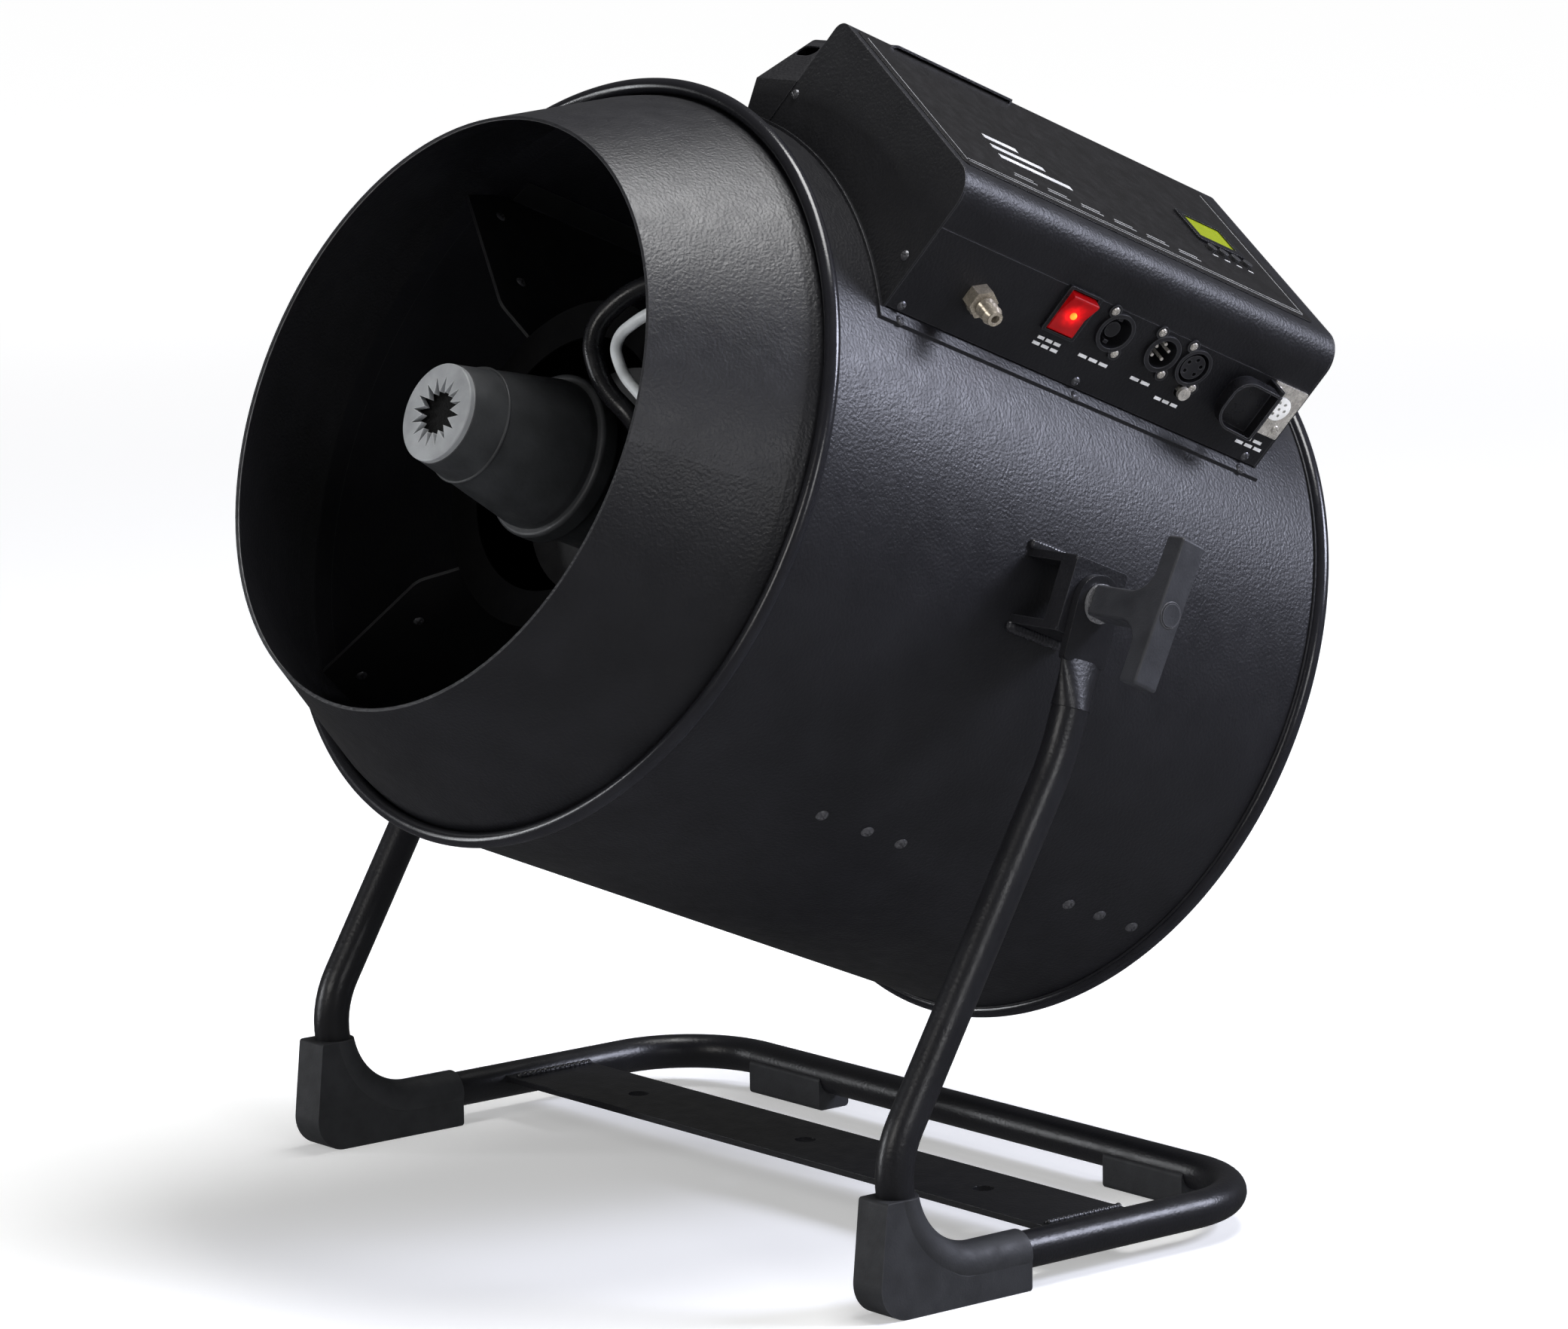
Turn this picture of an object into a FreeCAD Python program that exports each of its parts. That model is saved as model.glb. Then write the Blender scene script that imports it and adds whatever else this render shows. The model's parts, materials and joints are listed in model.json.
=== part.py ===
import FreeCAD, Part
import math
import os

from FreeCAD import Vector

# Drum snow effect machine: a fan drum that tilts about X in a bent-tube stand.
# Units are millimetres.  World frame: X across the stand (the tilt axis), front is -Y, +Z up,
# the floor is z = 0.  Everything is drawn about the tilt axis and moved into place at the end:
#   drum frame  x across, y along the drum (front is -y), z up, then tilted nose-up;
#   box frame   the drum frame turned about the drum axis, z is then the height over that axis.

# ---- driving dimensions -------------------------------------------------------------------------
TILT = 22.5                  # nose-up tilt of the drum, degrees
PIVOT_HEIGHT = 391.5         # tilt axis above the floor
STAND_HALF = 272.0           # tilt-axis centre plane to the middle of a leg
TUBE_R = 11.1
TUBE_WALL = 1.5
SHEET = 1.6                  # drum and hood sheet

DRUM_R = 229.5               # outside of the drum sheet
BEAD_R = 4.5                 # rolled bead at the drum's ends
BEAD_RING_R = 235.0          # outside of both beads
FRONT_BEAD_Y = -194.0
REAR_BEAD_Y = 221.0
HOOD_MOUTH_R = 179.3
HOOD_MOUTH_Y = -287.5
HOOD_BACK_Y = -172.0

BOX_TURN = 30.0              # the control box leans this far round the drum, towards +X
BOX_FRONT_Y = -152.5
BOX_BACK_Y = 164.0
BOX_RIGHT = 108.0
BOX_LEFT = -70.0
BOX_TOP = 296.0
BOX_WALL = 1.5
PANEL_TOP = 262.0            # seam between the connector panel and the cover
SOCKET_ROW = 247.5           # height of the row of connectors

KNOB_FACE_X = 334.0          # outer face of the T-handles
CLEAR = 0.3                  # gap between moving bodies
FIT = 0.06                   # radial running clearance of pins

DRUM_IN_R = DRUM_R - SHEET
SADDLE_R = DRUM_R + 2.0

X = Vector(1, 0, 0)
Y = Vector(0, 1, 0)
Z = Vector(0, 0, 1)
ORIGIN = Vector(0, 0, 0)


# ---- frames -------------------------------------------------------------------------------------
def world_shift():
    """Offset that puts the whole machine's footprint centre at y = 0 and the floor at z = 0."""
    lean = math.radians(TILT)
    front = HOOD_MOUTH_Y * math.cos(lean) - HOOD_MOUTH_R * math.sin(lean)
    bead_centre = BEAD_RING_R - BEAD_R
    rear = REAR_BEAD_Y * math.cos(lean) + bead_centre * math.sin(lean) + BEAD_R
    return Vector(0, -(front + rear) / 2, PIVOT_HEIGHT)


def in_stand(shape):
    placed = shape.copy()
    placed.translate(world_shift())
    return placed


def in_drum(shape):
    placed = shape.copy()
    placed.rotate(ORIGIN, X, -TILT)
    return in_stand(placed)


def in_box(shape):
    placed = shape.copy()
    placed.rotate(ORIGIN, Y, BOX_TURN)
    return in_drum(placed)


# ---- small shape helpers ------------------------------------------------------------------------
def block(x0, x1, y0, y1, z0, z1):
    return Part.makeBox(x1 - x0, y1 - y0, z1 - z0, Vector(x0, y0, z0))


def rod(start, end, radius):
    along = end - start
    return Part.makeCylinder(radius, along.Length, start, along)


def rod_x(x0, x1, y, z, radius):
    return rod(Vector(x0, y, z), Vector(x1, y, z), radius)


def rod_y(y0, y1, radius, x=0.0, z=0.0):
    return rod(Vector(x, y0, z), Vector(x, y1, z), radius)


def rod_z(z0, z1, x, y, radius):
    return rod(Vector(x, y, z0), Vector(x, y, z1), radius)


def pipe_y(y0, y1, outer, inner):
    return rod_y(y0, y1, outer).cut(rod_y(y0 - 1, y1 + 1, inner))


def fused(shapes):
    whole = shapes[0]
    if len(shapes) > 1:
        whole = whole.fuse(shapes[1:])
    return whole.removeSplitter()


def cut_all(shape, tools):
    return shape.cut(Part.makeCompound(tools))


def rounded_wire(corners, to_space):
    """Closed wire through (a, b, radius) corners; to_space turns (a, b) into a 3-D point."""
    edges = []
    flat = [Vector(a, b, 0) for a, b, radius in corners]
    count = len(corners)
    ends = []
    for i in range(count):
        here = flat[i]
        before = (flat[i - 1] - here).normalize()
        after = (flat[(i + 1) % count] - here).normalize()
        radius = corners[i][2]
        if radius == 0:
            ends.append((here, None, here))
            continue
        half = before.getAngle(after) / 2
        reach = radius / math.tan(half)
        middle_way = (before + after).normalize()
        middle = here + middle_way * (radius / math.sin(half) - radius)
        ends.append((here + before * reach, middle, here + after * reach))
    for i in range(count):
        enter, middle, leave = ends[i]
        if middle is not None:
            arc = [to_space(p.x, p.y) for p in (enter, middle, leave)]
            edges.append(Part.Arc(*arc).toShape())
        start = to_space(leave.x, leave.y)
        stop = to_space(ends[(i + 1) % count][0].x, ends[(i + 1) % count][0].y)
        if (stop - start).Length > 1e-6:
            edges.append(Part.LineSegment(start, stop).toShape())
    return Part.Wire(edges)


def slab_x(corners, x0, x1):
    """Extrude a (y, z) outline along X."""
    wire = rounded_wire(corners, lambda a, b: Vector(x0, a, b))
    return Part.Face(wire).extrude(Vector(x1 - x0, 0, 0))


def slab_y(corners, y0, y1):
    """Extrude an (x, z) outline along Y."""
    wire = rounded_wire(corners, lambda a, b: Vector(a, y0, b))
    return Part.Face(wire).extrude(Vector(0, y1 - y0, 0))


def slab_z(corners, z0, z1):
    """Extrude an (x, y) outline along Z."""
    wire = rounded_wire(corners, lambda a, b: Vector(a, b, z0))
    return Part.Face(wire).extrude(Vector(0, 0, z1 - z0))


def spun(corners):
    """Revolve a (radius, y) outline about the drum axis."""
    wire = rounded_wire(corners, lambda a, b: Vector(a, b, 0))
    return Part.Face(wire).revolve(ORIGIN, Y, 360)


def rectangle(a0, a1, b0, b1, radius=0.0):
    return [(a0, b0, radius), (a1, b0, radius), (a1, b1, radius), (a0, b1, radius)]


def path_wire(points, radii):
    """Open wire of straight runs joined by tangent arcs; radii has one value per inner point."""
    edges = []
    start = points[0]
    for i in range(1, len(points) - 1):
        here = points[i]
        before = (points[i - 1] - here).normalize()
        after = (points[i + 1] - here).normalize()
        half = before.getAngle(after) / 2
        reach = radii[i - 1] / math.tan(half)
        enter = here + before * reach
        leave = here + after * reach
        middle_way = (before + after).normalize()
        middle = here + middle_way * (radii[i - 1] / math.sin(half) - radii[i - 1])
        edges.append(Part.LineSegment(start, enter).toShape())
        edges.append(Part.Arc(enter, middle, leave).toShape())
        start = leave
    edges.append(Part.LineSegment(start, points[-1]).toShape())
    return Part.Wire(edges)


def swept_round(points, radii, radius):
    path = path_wire(points, radii)
    ring = Part.makeCircle(radius, points[0], points[1] - points[0])
    return path.makePipeShell([Part.Wire(ring)], True, True)


def turned(shape, degrees):
    """Copy turned about the drum axis; positive turns +Z towards +X."""
    copy = shape.copy()
    copy.rotate(ORIGIN, Y, degrees)
    return copy


def mirrored_x(shape):
    return shape.mirror(ORIGIN, X)


# ---- stand --------------------------------------------------------------------------------------
RAIL_Z = -370.6              # rail centre line, measured from the tilt axis
LEG_KNEE = (-30.0, -86.0)    # (y, z) where the leg leans further forward
LEG_TOE_Y = -200.5           # where the leg's line would meet the rail's line
BACK_TUBE_Y = 141.4
FLAT_END_WIDTH = 33.0
FLAT_END_THICK = 5.0
ROUND_FROM = 62.0            # the tube is round from this distance below the tilt axis
MID_TAPER = 46.0
FLAT_END_REACH = 34.0        # flat down to here, which clears the sweep of the pivot bracket
COLLAR = 0.5                 # how far the pressed end stands proud where it meets the round tube
FRONT_BEND_R = 58.0
REAR_BEND_R = 65.0
KNEE_BEND_R = 150.0


def knee_direction():
    return Vector(0, LEG_KNEE[0], LEG_KNEE[1]).normalize()


def leg_points(side):
    top = knee_direction() * ROUND_FROM
    return [
        Vector(side * STAND_HALF, top.y, top.z),
        Vector(side * STAND_HALF, LEG_KNEE[0], LEG_KNEE[1]),
        Vector(side * STAND_HALF, LEG_TOE_Y, RAIL_Z),
        Vector(side * STAND_HALF, BACK_TUBE_Y, RAIL_Z),
    ]


def stand_path_solid(radius):
    right = leg_points(1)
    left = leg_points(-1)
    radii = [KNEE_BEND_R, FRONT_BEND_R, REAR_BEND_R, REAR_BEND_R, FRONT_BEND_R, KNEE_BEND_R]
    return swept_round(right + left[::-1], radii, radius)


def oval_wire(centre, direction, half_wide, half_thick):
    across = direction.cross(X).normalize()
    ellipse = Part.Ellipse(centre + across * half_wide, centre + X * half_thick, centre)
    return Part.Wire(ellipse.toShape())


def flattened_end():
    """Pressed-flat top of the right leg: the round tube runs out into a plate with a pivot hole."""
    down = knee_direction()
    centre = Vector(STAND_HALF, 0, 0)
    half = FLAT_END_WIDTH / 2
    sections = [
        oval_wire(centre + down * ROUND_FROM, down, TUBE_R + COLLAR, TUBE_R + COLLAR / 2),
        oval_wire(centre + down * MID_TAPER, down, 14.0, 6.6),
        oval_wire(centre + down * FLAT_END_REACH, down, half - 0.2, FLAT_END_THICK / 2 + 0.3),
    ]
    taper = Part.makeLoft(sections, True, False)
    plug = rod(centre + down * (ROUND_FROM - 2), centre + down * (ROUND_FROM + 3), TUBE_R - TUBE_WALL / 2)
    x0 = STAND_HALF - FLAT_END_THICK / 2
    foot = -FLAT_END_REACH - 2
    plate = slab_x([(-half, 0, 0), (half, 0, 0), (half, foot, 2.0), (-half, foot, 2.0)],
                   x0, x0 + FLAT_END_THICK)
    plate = plate.fuse(rod_x(x0, x0 + FLAT_END_THICK, 0, 0, half))
    plate.rotate(ORIGIN, X, math.degrees(math.asin(down.y)))
    hole = rod_x(x0 - 5, x0 + FLAT_END_THICK + 5, 0, 0, STUD_R + FIT)
    return fused([taper, plug, plate]).cut(hole)


def stand_tube():
    outer = stand_path_solid(TUBE_R)
    inner = stand_path_solid(TUBE_R - TUBE_WALL)
    end = flattened_end()
    return outer.cut(inner).fuse(end).fuse(mirrored_x(end))


BAR_CENTRE_Y = 5.0
BAR_WIDTH = 64.0
BAR_THICK = 4.0
BAR_TOP_Z = RAIL_Z + 5.5
BAR_HOLE_R = 6.5
BAR_HOLE_PITCH = 165.0


def base_bar():
    bar = block(-STAND_HALF, STAND_HALF, BAR_CENTRE_Y - BAR_WIDTH / 2, BAR_CENTRE_Y + BAR_WIDTH / 2,
                BAR_TOP_Z - BAR_THICK, BAR_TOP_Z)
    tools = [rod_z(BAR_TOP_Z - 20, BAR_TOP_Z + 20, BAR_HOLE_PITCH * i, BAR_CENTRE_Y, BAR_HOLE_R)
             for i in (-1, 0, 1)]
    tools += [rod(Vector(side * STAND_HALF, -200, RAIL_Z), Vector(side * STAND_HALF, 200, RAIL_Z), TUBE_R)
              for side in (-1, 1)]
    tools += [block(side * STAND_HALF - 8, side * STAND_HALF + 8, -200, 200, RAIL_Z - 30, RAIL_Z + 30)
              for side in (-1, 1)]
    return cut_all(bar, tools)


BOOT_R = 13.2
BOOT_TOP_Z = -322.0
BOOT_END_Y = -63.0
BOOT_HALF_WIDTH = 12.5


def front_foot():
    """Rubber boot round the front bend, with a squared toe and a flat sole."""
    outline = [
        (-172.0, BOOT_TOP_Z, 2.0), (-179.0, -PIVOT_HEIGHT, 20.0), (BOOT_END_Y, -PIVOT_HEIGHT, 2.0),
        (BOOT_END_Y, RAIL_Z - 4, 1.5), (-118.0, RAIL_Z - 4, 30.0), (-152.0, -345.0, 20.0),
        (-152.0, BOOT_TOP_Z, 2.0),
    ]
    toe = slab_x(outline, STAND_HALF - BOOT_HALF_WIDTH, STAND_HALF + BOOT_HALF_WIDTH)
    sleeve = stand_path_solid(BOOT_R)
    keep = block(STAND_HALF - 30, STAND_HALF + 30, -260, BOOT_END_Y, -PIVOT_HEIGHT, BOOT_TOP_Z)
    sleeve = sleeve.common(keep)
    return fused([toe, sleeve]).cut(stand_path_solid(TUBE_R))


PAD_NEAR = 135.0
PAD_FAR = 205.0
PAD_HALF_DEEP = 12.5


def rear_foot_pads():
    pads = []
    for side in (-1, 1):
        x0, x1 = sorted((side * PAD_NEAR, side * PAD_FAR))
        outline = rectangle(BACK_TUBE_Y - PAD_HALF_DEEP, BACK_TUBE_Y + PAD_HALF_DEEP,
                            -PIVOT_HEIGHT, RAIL_Z + 1, 3.0)
        pad = slab_x(outline, x0, x1)
        pads.append(pad.cut(rod_x(x0 - 1, x1 + 1, BACK_TUBE_Y, RAIL_Z, TUBE_R)))
    return Part.makeCompound(pads)


# ---- drum ---------------------------------------------------------------------------------------
def bead(y):
    return Part.makeTorus(BEAD_RING_R - BEAD_R, BEAD_R, Vector(0, y, 0), Y)


def drum_shell():
    sheet = pipe_y(FRONT_BEAD_Y, REAR_BEAD_Y, DRUM_R, DRUM_IN_R)
    return fused([sheet, bead(FRONT_BEAD_Y), bead(REAR_BEAD_Y)])


HOOD_NECK = (221.0, -204.0)      # (radius, y) where the cone ends
HOOD_SKIRT_Y = -186.0


def front_hood():
    """Conical reducer whose skirt sits inside the drum, behind the bead."""
    skirt_r = DRUM_IN_R
    outline = [
        (HOOD_MOUTH_R, HOOD_MOUTH_Y, 0), (HOOD_NECK[0], HOOD_NECK[1], 12.0),
        (skirt_r, HOOD_SKIRT_Y, 6.0), (skirt_r, HOOD_BACK_Y, 0),
        (skirt_r - SHEET, HOOD_BACK_Y, 0), (skirt_r - SHEET, HOOD_SKIRT_Y + 0.4, 6.0),
        (HOOD_NECK[0] - SHEET, HOOD_NECK[1] + 0.9, 12.0), (HOOD_MOUTH_R - 2.0, HOOD_MOUTH_Y, 0),
    ]
    return spun(outline)


BRACKET_HALF_DEEP = 21.0
BRACKET_HALF_TALL = 22.5
BRACKET_FLANGE = 5.0
BRACKET_WEB_X = 256.5
BRACKET_FACE_X = STAND_HALF - FLAT_END_THICK / 2 - CLEAR
STUD_R = 5.0


def pivot_bracket():
    """U-shaped bracket welded to the drum: two flanges and a thick web with the stud's thread."""
    flanges = [
        block(200, BRACKET_FACE_X - 1, -BRACKET_HALF_DEEP, BRACKET_HALF_DEEP, z0, z0 + BRACKET_FLANGE)
        for z0 in (-BRACKET_HALF_TALL, BRACKET_HALF_TALL - BRACKET_FLANGE)
    ]
    web = slab_x(rectangle(-BRACKET_HALF_DEEP, BRACKET_HALF_DEEP, -BRACKET_HALF_TALL, BRACKET_HALF_TALL, 3.0),
                 BRACKET_WEB_X, BRACKET_FACE_X)
    whole = fused(flanges + [web])
    tools = [rod_y(-100, 100, DRUM_R), rod_x(240, 300, 0, 0, STUD_R + FIT)]
    return cut_all(whole, tools)


DUCT_R = 100.0
DUCT_FRONT_Y = -186.0
DUCT_BACK_Y = -60.0
DUCT_MOUTH_R = 78.0
PLATE_THICK = 2.0
PLATE_ANGLES = (45, 135, 225, 315)
PLATE_OUT_R = DRUM_IN_R - 1.0


def radial_plate(outline, thick):
    """Flat plate in a plane through the drum axis, drawn as (radius, y) and standing on +Z."""
    wire = rounded_wire(outline, lambda a, b: Vector(-thick / 2, b, a))
    return Part.Face(wire).extrude(Vector(thick, 0, 0))


def wall_flange(y0, y1):
    """Folded foot of a radial plate, lying on the inside of the drum."""
    foot = block(-PLATE_THICK / 2, 18, y0, y1, 222, DRUM_IN_R + 2)
    ring = pipe_y(y0, y1, DRUM_IN_R, DRUM_IN_R - PLATE_THICK)
    return foot.common(ring)


def support_plates():
    outline = [
        (213, -200, 0), (122, -200, 14), (DUCT_R, -182, 0), (DUCT_R, DUCT_BACK_Y, 0),
        (170, 10, 20), (PLATE_OUT_R, 10, 0), (PLATE_OUT_R, -168, 0),
    ]
    plate = fused([radial_plate(outline, PLATE_THICK), wall_flange(-160, 10)])
    return Part.makeCompound([turned(plate, a) for a in PLATE_ANGLES])


def inner_duct():
    wall = pipe_y(DUCT_FRONT_Y, DUCT_BACK_Y, DUCT_R, DUCT_R - SHEET)
    lip = pipe_y(DUCT_FRONT_Y, DUCT_FRONT_Y + SHEET, DUCT_R, DUCT_MOUTH_R)
    return fused([wall, lip])


# ---- nozzle -------------------------------------------------------------------------------------
NOZZLE_FACE_Y = -287.0
NOZZLE_FACE_R = 29.5
NOZZLE_RING_DEEP = 4.0
NOZZLE_BACK_R = 45.2
NOZZLE_BACK_Y = -202.0
NOZZLE_WALL = 3.0
STAR_TEETH = 16
STAR_OUT_R = 21.5
STAR_IN_R = 12.4
BLOWER_FRONT_Y = -150.0
BLOWER_BACK_Y = -80.0
BLOWER_R = 70.0
BLOWER_FLANGE_Y = -97.0
BLOWER_WINDOWS = 8


def star_points(y):
    points = []
    for i in range(STAR_TEETH * 2):
        radius = STAR_OUT_R if i % 2 == 0 else STAR_IN_R
        angle = math.pi * i / STAR_TEETH
        points.append(Vector(radius * math.sin(angle), y, radius * math.cos(angle)))
    return points + points[:1]


def nozzle_ring():
    ring = rod_y(NOZZLE_FACE_Y, NOZZLE_FACE_Y + NOZZLE_RING_DEEP, NOZZLE_FACE_R)
    rim = [e for e in ring.Edges if e.Closed and abs(e.CenterOfMass.y - NOZZLE_FACE_Y) < 0.01]
    ring = ring.makeFillet(1.2, rim)
    star = Part.Face(Part.makePolygon(star_points(NOZZLE_FACE_Y - 1)))
    return ring.cut(star.extrude(Vector(0, NOZZLE_RING_DEEP + 2, 0)))


def nozzle_cone():
    front = NOZZLE_FACE_Y + NOZZLE_RING_DEEP
    outline = [
        (NOZZLE_FACE_R + 0.4, front, 0), (NOZZLE_BACK_R, NOZZLE_BACK_Y - 5, 10.0),
        (NOZZLE_BACK_R, NOZZLE_BACK_Y, 0), (NOZZLE_BACK_R - NOZZLE_WALL, NOZZLE_BACK_Y, 0),
        (NOZZLE_BACK_R - NOZZLE_WALL, NOZZLE_BACK_Y - 5, 8.0),
        (NOZZLE_FACE_R - NOZZLE_WALL, front, 0),
    ]
    return spun(outline)


def nozzle_base():
    outline = [
        (38, NOZZLE_BACK_Y, 0), (50, NOZZLE_BACK_Y, 2.5), (50, -189, 2.5), (44, -189, 0),
        (44, BLOWER_FRONT_Y, 0), (38, BLOWER_FRONT_Y, 0),
    ]
    spigot = rod(SPIGOT_END - SPIGOT_OUT * 0.73, SPIGOT_END, HOSE_R - 0.5)
    return fused([spun(outline), spigot])


def foam_mesh():
    """Knitted sock's front: a thin disc stretched across the cone behind the star."""
    return rod_y(-280.5, -278.5, 26.0)


def nozzle_blower():
    return rod_y(BLOWER_FRONT_Y, BLOWER_BACK_Y, BLOWER_R)


def blower_flange():
    """Ring that holds the nozzle blower in the duct, with windows for the air."""
    ring = pipe_y(BLOWER_FLANGE_Y, BLOWER_FLANGE_Y + 2, DUCT_R - SHEET, BLOWER_R)
    windows = []
    for i in range(BLOWER_WINDOWS):
        angle = math.radians(360.0 / BLOWER_WINDOWS * (i + 0.5))
        windows.append(rod_y(BLOWER_FLANGE_Y - 1, BLOWER_FLANGE_Y + 3, 9.0, 84 * math.sin(angle),
                             84 * math.cos(angle)))
    return cut_all(ring, windows)


HOSE_R = 6.0
AIR_HOSE_R = 3.5
HOSE_WALL_Y = -112.0         # both hoses come through the drum wall here
SPIGOT_END = Vector(52, -165, 0)
SPIGOT_OUT = Vector(15, -4, 3)       # the way the spigot points, along the hose's last run


def hose(points, radius):
    """Round hose whose bends each use 0.45 of the shorter run beside them."""
    radii = []
    for i in range(1, len(points) - 1):
        before = points[i] - points[i - 1]
        after = points[i + 1] - points[i]
        turn = before.getAngle(after)
        radii.append(0.45 * min(before.Length, after.Length) / math.tan(turn / 2))
    return swept_round(points, radii, radius)


def fluid_hose():
    """Black hose from the drum wall below the box, forward round a loop and into the nozzle base."""
    wall = DRUM_IN_R - 0.1
    points = [
        on_drum(29, HOSE_WALL_Y, wall), on_drum(29, HOSE_WALL_Y, wall - 24),
        Vector(84, -150, 152), Vector(66, -186, 122),
        Vector(38, -206, 104), Vector(18, -212, 74), Vector(38, -206, 44), Vector(66, -194, 28),
        SPIGOT_END + SPIGOT_OUT, SPIGOT_END,
    ]
    return hose(points, HOSE_R)


def air_hose():
    """Clear air line inside the loop of the black hose, ending on the duct's front lip."""
    wall = DRUM_IN_R - 0.1
    points = [
        on_drum(37, HOSE_WALL_Y, wall), on_drum(37, HOSE_WALL_Y, wall - 24),
        Vector(106, -150, 138), Vector(86, -186, 110),
        Vector(60, -205, 93), Vector(40, -210, 72), Vector(55, -208, 53), Vector(84, -206, 38),
        Vector(84, DUCT_FRONT_Y, 38),
    ]
    return hose(points, AIR_HOSE_R)


# ---- fan ----------------------------------------------------------------------------------------
MOTOR_R = 60.0
MOTOR_FRONT_Y = 130.0
MOTOR_BACK_Y = 205.0
MOTOR_RIBS = 12
MOTOR_RIB_HALF = 2.0
MOTOR_RIB_TALL = 4.0
MOTOR_NOSE_R = 22.0
MOTOR_NOSE_LONG = 8.0
SHAFT_IN_MOTOR = 38.0
SHAFT_R = 6.0
HUB_R = 48.0
HUB_FRONT_Y = 78.0
HUB_BACK_Y = 112.0
BLADE_TIP_R = 217.0
BLADE_COUNT = 5


def fan_motor():
    """Ribbed motor body; the ribs stand between the four motor plates."""
    body = rod_y(MOTOR_FRONT_Y, MOTOR_BACK_Y, MOTOR_R)
    rib = block(-MOTOR_RIB_HALF, MOTOR_RIB_HALF, MOTOR_FRONT_Y + 8, MOTOR_BACK_Y - 12,
                MOTOR_R - 1, MOTOR_R + MOTOR_RIB_TALL)
    ribs = [turned(rib, 360.0 / MOTOR_RIBS * i) for i in range(MOTOR_RIBS)]
    nose = rod_y(MOTOR_FRONT_Y - MOTOR_NOSE_LONG, MOTOR_FRONT_Y, MOTOR_NOSE_R)
    whole = fused([body, nose] + ribs)
    return whole.cut(rod_y(MOTOR_FRONT_Y - 20, MOTOR_FRONT_Y + SHAFT_IN_MOTOR + 2, SHAFT_R + FIT))


def motor_plates():
    outline = [
        (MOTOR_R, 140, 0), (150, 152, 0), (PLATE_OUT_R, 138, 0), (PLATE_OUT_R, 208, 0), (150, 196, 0),
        (MOTOR_R, 200, 0),
    ]
    plate = fused([radial_plate(outline, PLATE_THICK), wall_flange(138, 208)])
    return Part.makeCompound([turned(plate, a) for a in PLATE_ANGLES])


def fan_shaft():
    return rod_y(HUB_FRONT_Y - 6, MOTOR_FRONT_Y + SHAFT_IN_MOTOR, SHAFT_R)


def blade():
    """One blade: a thick slab from hub to tip, pitched and widening outwards."""
    outline = [(-26, 40, 0), (26, 40, 0), (58, BLADE_TIP_R + 30, 0), (-46, BLADE_TIP_R + 30, 0)]
    flat = slab_y(outline, -1.5, 1.5)
    flat.rotate(ORIGIN, Z, 30)
    flat.translate(Vector(0, (HUB_FRONT_Y + HUB_BACK_Y) / 2, 0))
    return flat.common(pipe_y(50, 125, BLADE_TIP_R, HUB_R - 4))


def fan_impeller():
    hub = rod_y(HUB_FRONT_Y, HUB_BACK_Y, HUB_R)
    blades = [turned(blade(), 360.0 / BLADE_COUNT * i) for i in range(BLADE_COUNT)]
    return fused([hub] + blades).cut(rod_y(0, 200, SHAFT_R))


GUARD_Y = 213.0
GUARD_WIRE_R = 1.5
GUARD_OUT_R = 226.2
GUARD_PITCH = 26.0           # from ring to ring
GUARD_RING_COUNT = 7
GUARD_SPOKES = 12
GUARD_CENTRE_R = 45.0


def rear_guard():
    """Wire guard: rings laid on twelve spokes that run out of a round centre plate."""
    radii = [GUARD_OUT_R - GUARD_PITCH * i for i in range(GUARD_RING_COUNT)]
    rings = [Part.makeTorus(r, GUARD_WIRE_R, Vector(0, GUARD_Y, 0), Y) for r in radii]
    spoke_y = GUARD_Y - 1.6
    spoke = rod(Vector(0, spoke_y, GUARD_CENTRE_R - 5), Vector(0, spoke_y, GUARD_OUT_R + 0.9), GUARD_WIRE_R)
    spokes = [turned(spoke, 360.0 / GUARD_SPOKES * i) for i in range(GUARD_SPOKES)]
    centre = rod_y(GUARD_Y - 3.2, GUARD_Y + 1.0, GUARD_CENTRE_R)
    whole = centre
    for piece in spokes + rings:
        whole = whole.fuse(piece)
    return whole


# ---- control box --------------------------------------------------------------------------------
CORNER_R = 18.0
LEFT_CORNER_R = 8.0
PANEL_FOOT = 206.0


def box_outline(inset):
    """Closed (x, z) outline of the box, well down into the drum; inset shrinks the three sides."""
    return [
        (BOX_RIGHT - inset, 150, 0), (BOX_RIGHT - inset, BOX_TOP - inset, CORNER_R - inset),
        (BOX_LEFT + inset, BOX_TOP - inset, LEFT_CORNER_R - inset), (BOX_LEFT + inset, 150, 0),
    ]


def above_saddle(shape):
    return shape.cut(rod_y(-300, 300, SADDLE_R))


SADDLE_FLANGE_X = 113.7


def box_base():
    """Curved saddle plate on the drum with a flange that shows below the connector panel."""
    ring = pipe_y(BOX_FRONT_Y - 2, BOX_BACK_Y + 2, SADDLE_R, DRUM_R)
    keep = slab_y(rectangle(BOX_LEFT - 6, SADDLE_FLANGE_X, 150, 260), -200, 200)
    return ring.common(keep)


def box_cover():
    y0 = BOX_FRONT_Y + BOX_WALL
    y1 = BOX_BACK_Y - BOX_WALL
    shell = slab_y(box_outline(0), y0, y1).cut(slab_y(box_outline(BOX_WALL), y0 - 1, y1 + 1))
    shell = shell.cut(block(0, 200, -200, 200, 100, PANEL_TOP + 0.4))
    return above_saddle(shell)


def end_plate(y0):
    plate = slab_y(box_outline(0), y0, y0 + BOX_WALL)
    return above_saddle(plate)


def box_front_plate():
    return end_plate(BOX_FRONT_Y)


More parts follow.
